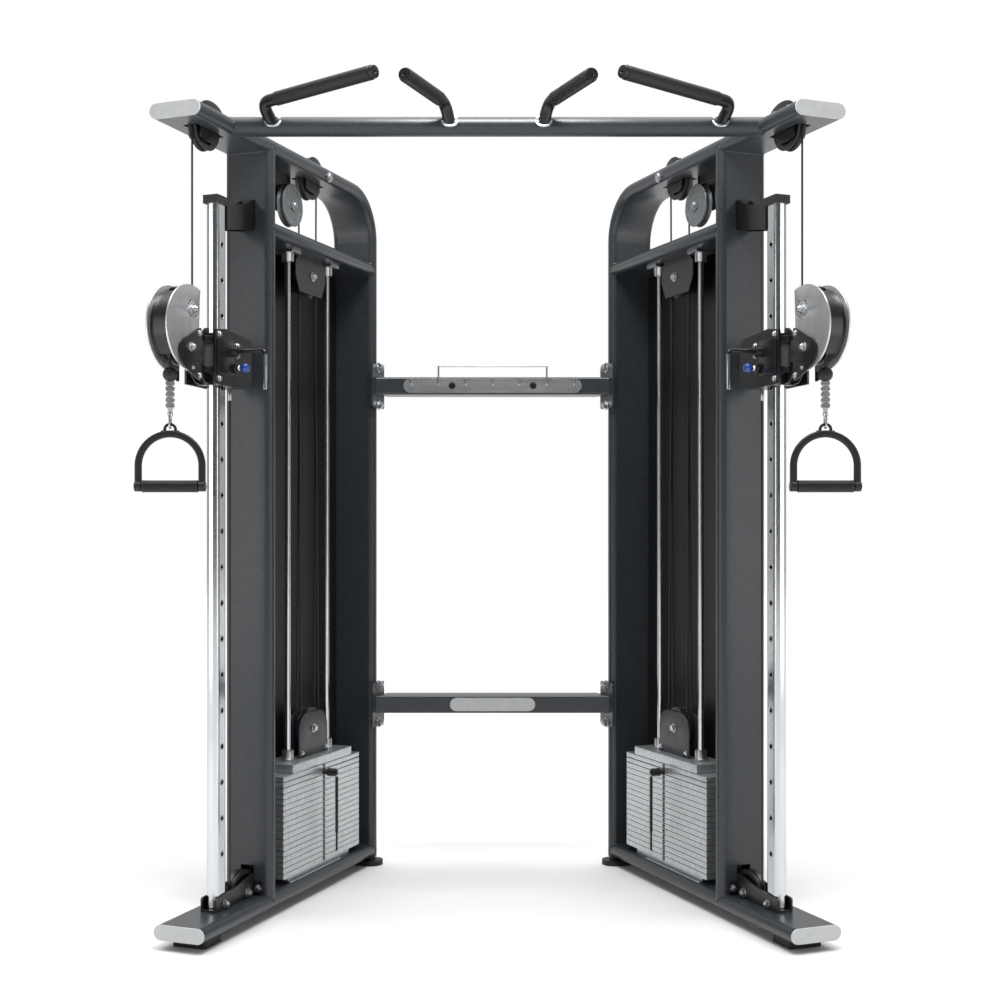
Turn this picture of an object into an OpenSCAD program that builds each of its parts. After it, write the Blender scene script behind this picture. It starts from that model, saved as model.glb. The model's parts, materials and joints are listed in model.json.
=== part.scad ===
// Cable crossover machine: two toed-in pulley towers joined by a pull-up bar and two cross beams.
// Each tower is drawn in its own frame: x towards the middle of the machine, y towards the rear,
// z up, with its origin under the front end of the tower. The right tower is its mirror image.

/* [Overall] */
// Height of the top beams above the floor
machine_h = 2300; // [2250:5:2350]
// Half of the distance between the front ends of the towers
half_front = 862; // [850:1:880]
// Angle that each tower turns in towards the rear
toe = 20.65; // [20:0.05:21.5]
// Distance of the towers' front ends ahead of the origin
front_y = 469.1; // [420:0.1:500]

/* [Tower tubes] */
// Width of the flat oval tube
tube_w = 157; // [152:1:160]
// Thickness of the flat oval tube
tube_t = 42; // [40:1:44]
// Wall thickness of the flat oval tube
wall = 3; // [2:0.5:4]
// Centre of the column, behind the front end
column_y = 387; // [385:1:390]
// Centre of the rear post, behind the front end
post_y = 1106; // [1100:1:1110]
// Centre-line radius of the bend at the top rear
bend_r = 150; // [140:5:160]
// Height of the middle of the brace between column and rear post
brace_z = 2036; // [2030:1:2042]

/* [Guide rail] */
// Centre of the rail, behind the front end
rail_y = 190; // [188:1:192]
// Width of the rail
rail_w = 39; // [38:0.5:40]
// Depth of the rail
rail_d = 56; // [54:1:58]
// Height of the top of the rail
rail_top = 2086; // [2080:1:2090]
// Distance between the lock holes
hole_pitch = 101.5; // [101:0.5:102]
// Number of lock holes
hole_count = 18; // [12:1:18]
// Height of the highest lock hole
hole_top = 1953; // [1950:1:1956]

/* [Weight stack] */
// Centre of the stack, behind the front end
stack_y = 750; // [748:1:752]
// Length of a weight plate
plate_l = 529; // [520:1:532]
// Width of a weight plate
plate_w = 117; // [112:1:120]
// Distance from plate to plate
plate_pitch = 17.3; // [17:0.1:18]
// Number of weight plates
plate_count = 18; // [10:1:18]
// Height of the bottom of the lowest plate
stack_z = 88; // [86:0.1:90]
// Distance of a guide rod from the middle of the stack
rod_off = 134; // [132:1:136]
// Diameter of a guide rod
rod_d = 19; // [18:0.5:20]

/* [Cable] */
// Radius of the cable
cable_r = 2.8; // [2.5:0.1:3]
// Radius of the cable's line on the large pulleys
pulley_r = 60; // [60:1:60]

/* [Handles] */
// Width of the hand grip's frame
handle_w = 190; // [180:2:200]
// Diameter of the hand grip
grip_d = 33; // [31:1:35]

/* [Hidden] */
$fn = 48;

left = -1;
right = 1;
gap = 0.4;

// tower tubes
beam_z = machine_h - tube_t / 2;
foot_h = 28;
base_z = foot_h + tube_t / 2;
base_top = foot_h + tube_t;
bend_y = post_y - bend_r;
bend_z = beam_z - bend_r;
beam_front = -20;
cap_t = 5;
slot_w = 44;

// rail and lock holes
rail_r = 14;
rail_wall = 2.5;
lock_z = hole_top - 3 * hole_pitch;
hole_d = 13;

// pulleys: large ones, their line radius above, and the two in the swivel
flange_r = pulley_r + 6;
pulley_w = 24;
axle_r = 6;
run_fit = 0.06;
front_line = 64;
top_front = [front_line + pulley_r, 2270];
top_rear = [stack_y, 2270];
turning = [stack_y - 2 * pulley_r, 2160];
column_line = column_y - 1;
leading = [column_line + pulley_r, 2160];
bottom = [column_line - pulley_r, 86];
brace_pulley_at = [stack_y, 1956];
brace_pulley_r = pulley_r - 10;
block_at = [stack_y, 511];
anchor_line = bottom[0] - pulley_r;
upper_guide = [18, 1745];
lower_guide = [0, 1640];
upper_guide_r = front_line - upper_guide[0];
lower_guide_r = 45;
handle_line = lower_guide[0] - lower_guide_r;
sheave_off = 8;
arc_d = 3.1;

// stack
head_z = stack_z + plate_count * plate_pitch;
head_t = 27;
head_l = 409;
pin_plate = 2;
pin_z = head_z - (pin_plate - 0.5) * plate_pitch;
plate_gap = 0.05;
pin_r = 5;

// trolley and swivel
trolley_low = 1547;
trolley_high = 1709;
arm_low = 1583;
arm_high = 1668;
arm_t = 17;
arm_r = 18;
swivel_c = [5, 1692];
swivel_r = 117;
cheek_x = 28;
cheek_t = 5;
knob_y = 200;
knob_z = 1602;
ball_r = 14;

// hanging handle
stop_z = 1562;
stop_r = 20;
lug_z = 1414;
grip_z = 1262;

// pull-up bar, behind the front ends
bar_t = 150;
bar_z = 2280;
bar_d = 54;
grip_bar_d = 34;

// cross beams
beam_back = 1035;
upper_beam_z = 1637;
lower_beam_z = 550;
cross_h = 60;
cross_d = 100;
pad_t = 1.5;
flange_t = 7.5;
bolt_off = 64;

// ---------------------------------------------------------------- placing and shared shapes

// a tower's own frame
module tower(side) {
  mirror([side > 0 ? 1 : 0, 0, 0])
    translate([-half_front, -front_y, 0]) rotate([0, 0, -toe]) children();
}
module both_towers() { for (side = [left, right]) tower(side) children(); }

// a shape drawn in the plane of the tower (x to the rear, y up), t thick, its middle at x = at
module upright_plate(at, t) {
  translate([at - t / 2, 0, 0]) rotate([90, 0, 90]) linear_extrude(t) children();
}
// a solid of revolution about a line across the tower, at [y, z]
module across(p, at = 0) { translate([at, p[0], p[1]]) rotate([90, 0, 90]) children(); }
// a shape drawn across the tower (x, z), pushed from front to rear
module along(from, to) {
  translate([0, from, 0]) rotate([90, 0, 0]) mirror([0, 0, 1]) linear_extrude(to - from) children();
}

module oval(w, t) {
  square([w - t, t], center = true);
  for (s = [-1, 1]) translate([s * (w - t) / 2, 0]) circle(d = t);
}
module rounded(w, h, r) {
  square([w - 2 * r, h], center = true);
  square([w, h - 2 * r], center = true);
  for (i = [-1, 1], j = [-1, 1]) translate([i * (w / 2 - r), j * (h / 2 - r)]) circle(r = r);
}
module tube_section() {
  difference() { oval(tube_w, tube_t); oval(tube_w - 2 * wall, tube_t - 2 * wall); }
}
// a round bar between two points
module bar(p, q, r) {
  d = q - p;
  len = norm(d);
  translate(p) rotate([0, acos(d[2] / len), atan2(d[1], d[0])]) cylinder(r = r, h = len);
}
module hex_head(r, h) { cylinder(r = r, h = h, $fn = 6); }

// ---------------------------------------------------------------- tower tubes

module beam_solid() { along(beam_front, bend_y) translate([0, beam_z]) oval(tube_w, tube_t); }
module post_solid() { translate([0, post_y, foot_h]) linear_extrude(bend_z - foot_h) oval(tube_w, tube_t); }
module base_solid() { along(0, post_y) translate([0, base_z]) oval(tube_w, tube_t); }
module column_solid() {
  translate([0, column_y, base_z]) linear_extrude(beam_z - base_z) oval(tube_w, tube_t);
}
module pulley_slot(p) {
  translate([-slot_w / 2, p[0] - flange_r - 8, p[1] - 60]) cube([slot_w, 2 * flange_r + 16, 120]);
}

module hoop_tube() {
  difference() {
    union() {
      along(beam_front, bend_y) translate([0, beam_z]) tube_section();
      translate([0, bend_y, bend_z]) rotate([90, 0, 90])
        rotate_extrude(angle = 90, $fn = 96) translate([bend_r, 0]) rotate(90) tube_section();
      translate([0, post_y, foot_h]) linear_extrude(bend_z - foot_h) tube_section();
      for (z = [upper_beam_z, lower_beam_z])
        translate([tube_w / 2 - 12, post_y - tube_t / 2 + 2, z - 75])
          cube([12 + pad_t, tube_t - 4, 150]);
    }
    pulley_slot(top_front);
    pulley_slot(top_rear);
    across(top_rear) cylinder(r = axle_r, h = tube_w);
    for (z = [upper_beam_z, lower_beam_z], s = [-1, 1])
      across([post_y, z + s * bolt_off], tube_w / 2 - 20) cylinder(r = axle_r, h = 40);
  }
}
module top_rear_tubes() { color([0.25, 0.27, 0.29]) both_towers() hoop_tube(); }

module base_tube() {
  difference() {
    along(0, post_y) translate([0, base_z]) tube_section();
    post_solid();
    translate([-slot_w / 2, anchor_line - 12, foot_h - 1])
      cube([slot_w, 2 * flange_r + 12, tube_t + 2]);
  }
}
module base_tubes() { color([0.25, 0.27, 0.29]) both_towers() base_tube(); }

module column() {
  difference() {
    translate([0, column_y, base_z]) linear_extrude(beam_z - base_z) tube_section();
    base_solid();
    beam_solid();
    translate([-slot_w / 2, column_y - tube_t, base_z]) cube([slot_w, tube_t, 108]);
    translate([-slot_w / 2, column_y, leading[1] - 74]) cube([slot_w, tube_t, 148]);
  }
}
module columns() { color([0.25, 0.27, 0.29]) both_towers() column(); }

module mid_brace() {
  difference() {
    along(column_y, post_y) translate([0, brace_z]) tube_section();
    column_solid();
    post_solid();
    for (y = [stack_y - pulley_r, stack_y + pulley_r])
      translate([-20, y - 12, brace_z - 40]) cube([40, 24, 80]);
  }
}
module mid_braces() { color([0.25, 0.27, 0.29]) both_towers() mid_brace(); }

module end_cap(front, z) {
  along(front - cap_t, front) translate([0, z]) oval(tube_w, tube_t);
  along(front, front + 18) translate([0, z])
    oval(tube_w - 2 * wall - 0.6, tube_t - 2 * wall - 0.6);
}
module end_caps() {
  color([0.82, 0.83, 0.84]) both_towers() {
    end_cap(0, base_z);
    end_cap(beam_front, beam_z);
  }
}

module front_foot() {
  translate([0, 90, 0]) linear_extrude(foot_h) rounded(104, 90, 8);
}
module rear_foot() {
  translate([0, post_y, 0]) linear_extrude(16) oval(200, 78);
  translate([0, post_y, 0]) linear_extrude(foot_h) oval(tube_w - 8, tube_t - 8);
}
module feet() { color([0.14, 0.14, 0.15]) both_towers() { front_foot(); rear_foot(); } }

// ---------------------------------------------------------------- rail and its brackets

module guide_rail() {
  difference() {
    translate([0, rail_y, base_top]) linear_extrude(rail_top - base_top) difference() {
      rounded(rail_w, rail_d, rail_r);
      rounded(rail_w - 2 * rail_wall, rail_d - 2 * rail_wall, rail_r - rail_wall);
    }
    for (i = [0 : hole_count - 1])
      translate([0, rail_y, hole_top - i * hole_pitch]) rotate([0, 90, 0])
        cylinder(d = hole_d, h = rail_w);
    across(shoe_bolt, -rail_w) cylinder(r = axle_r, h = 2 * rail_w);
  }
}
module guide_rails() { color([0.8, 0.81, 0.83]) both_towers() guide_rail(); }

// webs beside the rail, rising to a flange on the column, and a cap over the rail's end
module rail_top_bracket() {
  web_t = 4;
  skirt = 20;
  front = rail_y - rail_d / 2 - web_t;
  column_face = column_y - tube_t / 2;
  web_end = column_face - web_t;
  for (s = [-1, 1]) upright_plate(s * (rail_w / 2 + web_t / 2), web_t) polygon([
    [front, rail_top], [front, rail_top - skirt], [rail_y + 22, rail_top - skirt],
    [rail_y + 22, rail_top - 86], [web_end, rail_top - 59], [web_end, rail_top + 32],
    [rail_y + 141, rail_top + 12], [rail_y + 34, rail_top - 12], [rail_y + 34, rail_top]]);
  translate([-rail_w / 2 - web_t, front, rail_top]) cube([rail_w + 2 * web_t, rail_d + 10, web_t]);
  translate([-rail_w / 2 - web_t, front, rail_top - skirt])
    cube([rail_w + 2 * web_t, web_t - 0.5, skirt]);
  along(web_end, column_face) translate([0, rail_top - 13.5]) rounded(54, 91, 8);
}
shoe_bolt = [rail_y + 7, base_top + 16];
// the shoe at the foot of the rail; its cheeks run back and hold the bottom pulley
module rail_shoe() {
  cheek = 5;
  flange = 4;
  shoe_front = rail_y - rail_d / 2 - 14;
  column_face = column_y - tube_t / 2;
  for (s = [-1, 1]) {
    upright_plate(s * (rail_w / 2 + 3), cheek) difference() {
      translate([0, base_top]) polygon([
        [shoe_front, 0], [shoe_front, 36], [shoe_front + 6, 40], [rail_y + 70, 48],
        [bottom[0] - 9, 60], [bottom[0] + 19, 65], [column_face, 65], [column_face, 0]]);
      translate(bottom) circle(r = axle_r);
      translate(shoe_bolt) circle(r = axle_r);
    }
    translate([s * 36 - 14, column_face - flange, base_top]) cube([28, flange, 42]);
  }
  translate([-rail_w / 2 - 0.5, shoe_front, base_top]) cube([rail_w + 1, 7, 8]);
}
module rail_brackets() {
  color([0.1, 0.1, 0.11]) both_towers() { rail_top_bracket(); rail_shoe(); }
}

// ---------------------------------------------------------------- pulleys

module groove(r, lip, reach) {
  translate([r, 0]) circle(r = arc_d);
  polygon([[r, -arc_d], [r + reach + 1, -lip], [r + reach + 1, lip], [r, arc_d]]);
}
// spoked-looking solid pulley: rim, thinner web and hub
module pulley(line_r, reach, w, lip) {
  rotate_extrude($fn = 96) difference() {
    union() {
      translate([line_r - 12, -w / 2]) square([12 + reach, w]);
      translate([axle_r + run_fit, -w / 2 + 3]) square([line_r - 8, w - 6]);
      translate([axle_r + run_fit, -w / 2 - 1]) square([14, w + 2]);
    }
    groove(line_r, lip, reach);
    translate([line_r + reach, -w]) square([10, 2 * w]);
  }
}
module large_pulley(p) {
  color([0.16, 0.17, 0.18]) across(p) pulley(pulley_r, flange_r - pulley_r, pulley_w, 8);
}
module top_front_pulley() { large_pulley(top_front); }
module top_rear_pulley() { large_pulley(top_rear); }
module turning_pulley() { large_pulley(turning); }
module brace_pulley() {
  color([0.16, 0.17, 0.18]) across(brace_pulley_at) pulley(brace_pulley_r, 5, pulley_w, 8);
}
module bottom_pulley() { large_pulley(bottom); }
module upper_guide_pulley() {
  color([0.16, 0.17, 0.18]) across(upper_guide) pulley(upper_guide_r, 4, 24, 7);
}
module lower_guide_pulley() {
  color([0.16, 0.17, 0.18]) across(lower_guide) pulley(lower_guide_r, 4, 24, 7);
}
// double pulley on the weight stack
module block_pulley() {
  color([0.16, 0.17, 0.18]) across(block_at) rotate_extrude($fn = 96) difference() {
    translate([axle_r + run_fit, -15]) square([flange_r - axle_r - run_fit, 30]);
    for (s = [-1, 1]) translate([0, s * sheave_off]) groove(pulley_r, 5, flange_r - pulley_r);
  }
}
module leading_pulley() { across(leading) pulley(pulley_r, flange_r - pulley_r, pulley_w, 8); }

// ---------------------------------------------------------------- brackets that hold pulleys

bracket_x = pulley_w / 2 + 3.6;
bracket_t = 4;

module beam_pulley_cheeks(p) {
  for (s = [-1, 1]) difference() {
    upright_plate(s * (bracket_x + 2), bracket_t) translate([p[0], p[1]]) {
      rounded(96, 84, 14);
      translate([0, -34]) square([58, 24], center = true);
    }
    across(p, -40) cylinder(r = axle_r, h = 80);
  }
}
module hanger() {
  low = turning[1] - 26;
  high = beam_z - tube_t / 2;
  difference() {
    upright_plate(-bracket_x - 2, bracket_t) {
      polygon([[leading[0] - 22, low], [turning[0] + 22, low], [turning[0] + 34, low + 60],
               [turning[0] + 34, high], [leading[0] - 22, high]]);
    }
    for (p = [leading, turning]) across(p, -60) cylinder(r = axle_r, h = 80);
  }
  translate([-bracket_x - 24, leading[0] - 22, high - 5])
    cube([20, turning[0] - leading[0] + 56, 5]);
}
module brace_pulley_cheeks() {
  p = brace_pulley_at;
  high = brace_z - tube_t / 2;
  for (s = [-1, 1]) difference() {
    upright_plate(s * (bracket_x + 2), bracket_t) polygon([
      [p[0] - 94, high], [p[0] - 116, p[1] + 34], [p[0] - 116, p[1] - 10], [p[0] - 90, p[1] - 60],
      [p[0] + 60, p[1] - 60], [p[0] + 87, p[1] - 10], [p[0] + 87, p[1] + 34], [p[0] + 65, high]]);
    across(p, -40) cylinder(r = axle_r, h = 80);
  }
}
module pulley_brackets() {
  color([0.12, 0.12, 0.13]) both_towers() {
    beam_pulley_cheeks(top_front);
    beam_pulley_cheeks(top_rear);
    hanger();
    leading_pulley();
    brace_pulley_cheeks();
  }
}

// ---------------------------------------------------------------- guide rods and weights

module guide_rods() {
  high = brace_z - tube_t / 2;
  color([0.82, 0.83, 0.85]) both_towers() for (s = [-1, 1])
    translate([0, stack_y + s * rod_off, base_top]) cylinder(d = rod_d, h = high - base_top);
}
module rod_clamp(y) {
  high = brace_z - tube_t / 2;
  translate([0, y, high - 34]) difference() {
    cylinder(d = 38, h = 26);
    translate([0, 0, -1]) cylinder(d = rod_d, h = 40);
  }
  difference() {
    translate([-32, y - 30, high - 8]) cube([64, 60, 8]);
    translate([0, y, high - 20]) cylinder(d = rod_d, h = 40);
  }
  translate([0, y, base_top]) difference() {
    cylinder(d = 46, h = 14);
    translate([0, 0, -1]) cylinder(d = rod_d, h = 40);
  }
}
module rod_clamps() {
  color([0.7, 0.71, 0.72]) both_towers() for (s = [-1, 1]) rod_clamp(stack_y + s * rod_off);
}

// one plate: slab with raised lands so that the plates stay apart at their edges
module weight_plate(z) {
  land = 0.9;
  difference() {
    union() {
      translate([0, stack_y, z + land]) linear_extrude(plate_pitch - 2 * land)
        rounded(plate_w, plate_l, 5);
      translate([0, stack_y, z + plate_gap]) linear_extrude(plate_pitch - plate_gap)
        rounded(plate_w - 16, plate_l - 16, 4);
    }
    translate([0, stack_y, z - 1]) cylinder(d = 28, h = plate_pitch + 2);
    for (s = [-1, 1])
      translate([0, stack_y + s * rod_off, z - 1]) cylinder(d = rod_d + 4, h = plate_pitch + 2);
    translate([0, stack_y, z + plate_pitch / 2]) rotate([0, 90, 0])
      cylinder(r = pin_r + 0.1, h = plate_w);
  }
}
module weight_plates() {
  color([0.62, 0.63, 0.64]) both_towers() {
    for (i = [0 : plate_count - pin_plate - 1]) weight_plate(stack_z + i * plate_pitch);
    difference() {
      translate([0, stack_y, base_top]) linear_extrude(stack_z - base_top) rounded(90, 430, 6);
      for (s = [-1, 0, 1])
        translate([0, stack_y + s * rod_off, 0]) cylinder(d = 48, h = 200);
    }
  }
}

module block_cheek_shape() {
  y = block_at[0];
  low = head_z + head_t;
  difference() {
    union() {
      translate([y - 97, low]) square([194, 84]);
      translate([y - 42, low]) square([84, 138]);
      for (s = [-1, 1]) translate([y + s * 42, low + 83]) circle(r = 55);
    }
    for (s = [-1, 1]) translate([y + s * 70, low - 2]) circle(r = 10);
    translate([y, block_at[1]]) circle(r = axle_r);
  }
}
module stack_head() {
  color([0.3, 0.31, 0.33]) {
    for (i = [1 : pin_plate]) weight_plate(head_z - i * plate_pitch);
    difference() {
      translate([0, stack_y, head_z]) linear_extrude(head_t) rounded(plate_w, head_l, 8);
      for (s = [-1, 1]) translate([0, stack_y + s * rod_off, head_z - 1]) cylinder(d = 36, h = 60);
    }
    for (s = [-1, 1]) translate([0, stack_y + s * rod_off, head_z]) difference() {
      cylinder(d = 36, h = head_t + 33);
      translate([0, 0, -1]) cylinder(d = rod_d + 0.12, h = 80);
    }
    for (s = [-1, 1]) upright_plate(s * 20, 5) block_cheek_shape();
    across(block_at, -26) cylinder(r = axle_r, h = 52);
    difference() {
      translate([0, stack_y, stack_z + 4]) cylinder(d = 25, h = head_z - stack_z - 4);
      for (i = [0 : plate_count - 1])
        translate([-20, stack_y, head_z - (i + 0.5) * plate_pitch]) rotate([0, 90, 0])
          cylinder(r = pin_r + 0.1, h = 40);
    }
  }
}
module selector_pin() {
  color([0.12, 0.12, 0.13]) translate([0, stack_y, pin_z]) rotate([0, 90, 0]) {
    translate([0, 0, -8]) cylinder(r = pin_r, h = plate_w / 2 + 12);
    translate([0, 0, plate_w / 2 + 1]) cylinder(r = 9, h = 12);
    translate([0, 0, plate_w / 2 + 13]) cylinder(r = 13, h = 30);
    translate([0, 0, plate_w / 2 + 43]) cylinder(r = 7, h = 6);
  }
}

module shroud_panel() {
  length = post_y - column_y;
  height = brace_z - base_z;
  sheet = 3;
  step = 1.2;
  x = -tube_w / 2 + 12;
  difference() {
    translate([x - sheet / 2, column_y, base_z]) cube([sheet, length, height]);
    column_solid();
    post_solid();
    base_solid();
    along(column_y, post_y) translate([0, brace_z]) oval(tube_w, tube_t);
    for (s = [-1, 1]) upright_plate(x + s * sheet / 2, step)
      translate([column_y + length / 2, base_z + height / 2])
        rounded(length - 190, height - 190, 50);
  }
}
module shroud_panels() { color([0.09, 0.095, 0.1]) both_towers() shroud_panel(); }

// ---------------------------------------------------------------- trolley, lock and swivel

module trolley_side_shape() {
  polygon([[104, trolley_low + 4], [260, trolley_low], [306, trolley_low + 24],
           [306, trolley_high - 26], [290, trolley_high - 14], [160, trolley_high],
           [104, trolley_high - 8]]);
}
module arm(z) {
  difference() {
    union() {
      translate([0, front_line, z]) cylinder(r = arm_r, h = arm_t);
      translate([-arm_r, front_line, z]) cube([2 * arm_r, 60, arm_t]);
      translate([0, 0, z]) linear_extrude(arm_t)
        polygon([[-arm_r, 104], [-48, 126], [-48, 156], [48, 156], [48, 126], [arm_r, 104]]);
    }
    translate([0, front_line, z - 1]) cylinder(r = 6 + run_fit, h = arm_t + 2);
  }
}
module trolley() {
  color([0.09, 0.09, 0.1]) difference() {
    union() {
      for (s = [-1, 1]) upright_plate(s * 46, 8) trolley_side_shape();
      translate([-42, rail_y - 40, trolley_low + 6])
        cube([84, 80, trolley_high - trolley_low - 16]);
      translate([-42, rail_y + 40, trolley_low + 6]) cube([84, 70, 22]);
      arm(arm_low);
      arm(arm_high);
      translate([42, rail_y, lock_z]) rotate([0, 90, 0]) cylinder(r = 15, h = 28);
      translate([42, knob_y, knob_z]) rotate([0, 90, 0]) cylinder(r = 13, h = 16);
    }
    translate([0, rail_y, trolley_low - 1]) linear_extrude(200)
      rounded(rail_w + 1, rail_d + 1, rail_r + 0.5);
    translate([0, rail_y, lock_z]) rotate([0, 90, 0]) cylinder(r = 6.45 + run_fit, h = 100);
    translate([0, knob_y, knob_z]) rotate([0, 90, 0]) cylinder(r = 5 + run_fit, h = 100);
  }
}
module lock_pin() {
  reach = 157;
  color([0.75, 0.76, 0.78]) {
    translate([rail_w / 2 + gap, rail_y, lock_z]) rotate([0, 90, 0])
      cylinder(r = 6.45, h = reach - rail_w / 2 - gap);
    translate([reach, rail_y, lock_z]) sphere(r = 6.45);
    translate([reach, rail_y, lock_z - 110]) cylinder(r = 6.45, h = 110);
    translate([86, rail_y, lock_z]) rotate([0, 90, 0]) cylinder(r = 10, h = 4);
  }
}
module clamp_knob() {
  color([0.15, 0.3, 0.65]) {
    translate([rail_w / 2 + 2, knob_y, knob_z]) rotate([0, 90, 0]) cylinder(r = 5, h = 58);
    translate([88, knob_y, knob_z]) sphere(r = ball_r);
  }
}

module cheek_shape() {
  difference() {
    intersection() {
      translate(swivel_c) circle(r = swivel_r);
      union() {
        translate([-130, 1560]) square([170, 260]);
        translate([-130, arm_low + arm_t + 2])
          square([130 + 59, arm_high - arm_low - arm_t - 4]);
        translate([0, arm_high + arm_t + 4]) square([46, 100]);
      }
    }
    for (p = [upper_guide, lower_guide]) translate(p) {
      circle(r = axle_r);
      for (a = [0, 90, 180, 270]) rotate(a + 45) difference() {
        circle(r = 27);
        circle(r = 22);
        for (b = [60 : 60 : 300]) rotate(b) translate([0, -30]) square([60, 60]);
      }
    }
  }
}
module swivel() {
  low = arm_low + arm_t + 1;
  high = arm_high - 1;
  color([0.66, 0.67, 0.68]) {
    for (s = [-1, 1]) upright_plate(s * (cheek_x + cheek_t / 2), cheek_t) cheek_shape();
    difference() {
      union() {
        translate([-cheek_x, 53, low]) cube([2 * cheek_x, 6, high - low]);
        translate([0, front_line, low]) cylinder(r = 12.5, h = high - low);
      }
      translate([0, front_line, low - 1]) cylinder(r = 6, h = high - low + 2);
    }
    translate([0, front_line, arm_low - 2]) cylinder(r = 6, h = arm_high + arm_t - arm_low + 4);
    translate([0, front_line, arm_high + arm_t + 0.5]) cylinder(r = 10, h = 6);
    for (p = [upper_guide, lower_guide]) {
      across(p, -cheek_x - cheek_t - 10) cylinder(r = axle_r, h = 2 * (cheek_x + cheek_t + 10));
      for (s = [-1, 1]) across(p, s * (cheek_x + cheek_t + 4) - 4) hex_head(10, 8);
    }
  }
}

// ---------------------------------------------------------------- handle on the cable's end

module cable_end() {
  ring_r = 20;
  strap = 86;
  color([0.5, 0.5, 0.5]) translate([0, handle_line, 0]) {
    translate([0, 0, stop_z]) sphere(r = stop_r);
    rotate([0, 0, toe]) {
      translate([0, 0, stop_z - 18]) rotate([180, 0, 0]) difference() {
        translate([-12.5, -4, 0]) cube([25, 8, strap]);
        for (i = [0 : 4]) translate([0, 5, 10 + i * 14.5]) rotate([90, 0, 0]) cylinder(r = 4.5, h = 10);
      }
      translate([0, 0, lug_z + 6 + ring_r]) rotate([0, 90, 0]) rotate_extrude()
        translate([ring_r, 0]) circle(r = 3);
    }
  }
}
module handle_frame_shape() {
  half = handle_w / 2;
  straight = 55;
  difference() {
    union() {
      translate([0, straight]) circle(r = half, $fn = 96);
      translate([-half, 0]) square([handle_w, straight]);
    }
    translate([0, straight]) circle(r = half - 19, $fn = 96);
    translate([19 - half, -1]) square([handle_w - 38, straight + 1]);
    translate([-half, -handle_w]) square([handle_w, handle_w]);
  }
}
module handle() {
  lug_r = 18;
  color([0.08, 0.08, 0.08]) translate([0, handle_line, 0]) rotate([0, 0, toe]) difference() {
    union() {
      translate([0, 7, grip_z]) rotate([90, 0, 0]) linear_extrude(14) handle_frame_shape();
      translate([0, 5, lug_z]) rotate([90, 0, 0]) cylinder(r = lug_r, h = 10);
      for (s = [-1, 1]) translate([s * (handle_w / 2 - 9.5) - 9.5, 0, grip_z])
        rotate([0, 90, 0]) cylinder(r = 14, h = 19);
      translate([-handle_w / 2 + 4, 0, grip_z]) rotate([0, 90, 0]) cylinder(r = 8, h = handle_w - 8);
    }
    translate([0, 9, lug_z]) rotate([90, 0, 0]) cylinder(r = 11, h = 18);
  }
}
module grip() {
  len = handle_w - 2 * 19 - 2;
  color([0.06, 0.06, 0.06]) translate([0, handle_line, grip_z]) rotate([0, 0, toe])
    rotate([0, 90, 0]) difference() {
      cylinder(d = grip_d, h = len, center = true);
      cylinder(r = 8 + run_fit, h = len + 2, center = true);
    }
}

// ---------------------------------------------------------------- cables

// an arc of cable on a pulley: from angle a, for s degrees, in the plane of the tower
module cable_arc(p, r, a, s, at = 0) {
  across(p, at) rotate(a) rotate_extrude(angle = s, $fn = 96) translate([r, 0]) circle(r = cable_r, $fn = 16);
}
module cable_run(p, q, at_p = 0, at_q = 0) {
  bar([at_p, p[0], p[1]], [at_q, q[0], q[1]], cable_r, $fn = 16);
}

module fixed_cables() {
  color([0.05, 0.05, 0.05]) both_towers() {
    cable_arc(top_front, pulley_r, 90, 90);
    cable_run(top_front + [0, pulley_r], top_rear + [0, pulley_r]);
    cable_arc(top_rear, pulley_r, 0, 90);
    cable_arc(brace_pulley_at, brace_pulley_r, 0, 180);
    cable_arc(turning, pulley_r, 0, 90);
    cable_run(leading + [0, pulley_r], turning + [0, pulley_r]);
    cable_arc(leading, pulley_r, 90, 90);
    cable_run([column_line, bottom[1]], [column_line, leading[1]]);
    cable_arc(bottom, pulley_r, 180, 180);
  }
}
module trolley_cable() {
  color([0.05, 0.05, 0.05]) {
    cable_run([front_line, upper_guide[1]], [front_line, top_front[1]]);
    cable_run([anchor_line, bottom[1]], [anchor_line, trolley_low + 5]);
  }
}
module stack_cable() {
  y_rear = stack_y + pulley_r;
  y_front = stack_y - pulley_r;
  short = 0.3;
  color([0.05, 0.05, 0.05]) {
    cable_run([y_rear, block_at[1]], [y_rear, top_rear[1] - short], -sheave_off, 0);
    cable_arc(block_at, pulley_r, 180, 180, -sheave_off);
    cable_run([y_front, block_at[1]], brace_pulley_at - [brace_pulley_r, short], -sheave_off, 0);
    cable_run([y_rear, block_at[1]], brace_pulley_at + [brace_pulley_r, -short], sheave_off, 0);
    cable_arc(block_at, pulley_r, 180, 180, sheave_off);
    cable_run([y_front, block_at[1]], [y_front, turning[1] - short], sheave_off, 0);
  }
}
// crossing between the two guide pulleys: the angle at which the cable leaves the lower one
guide_gap = norm(upper_guide - lower_guide);
guide_tilt = atan2(upper_guide[1] - lower_guide[1], upper_guide[0] - lower_guide[0]);
cross_angle = guide_tilt - asin((upper_guide_r + lower_guide_r) / guide_gap);
leave_dir = [cos(cross_angle + 90), sin(cross_angle + 90)];
cross_dir = [cos(cross_angle), sin(cross_angle)];
// gap at a seam between two lengths of the same cable
seam = 0.05;
module swivel_cable() {
  color([0.05, 0.05, 0.05]) {
    cable_run([handle_line, stop_z + stop_r + gap], [handle_line, lower_guide[1] - seam]);
    cable_arc(lower_guide, lower_guide_r, cross_angle + 90, 90 - cross_angle);
    cable_run(lower_guide + lower_guide_r * leave_dir + seam * cross_dir,
              upper_guide - upper_guide_r * leave_dir - seam * cross_dir);
    cable_arc(upper_guide, upper_guide_r, cross_angle - 90, 90 - cross_angle);
  }
}

// ---------------------------------------------------------------- bar, beams and small parts

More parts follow.
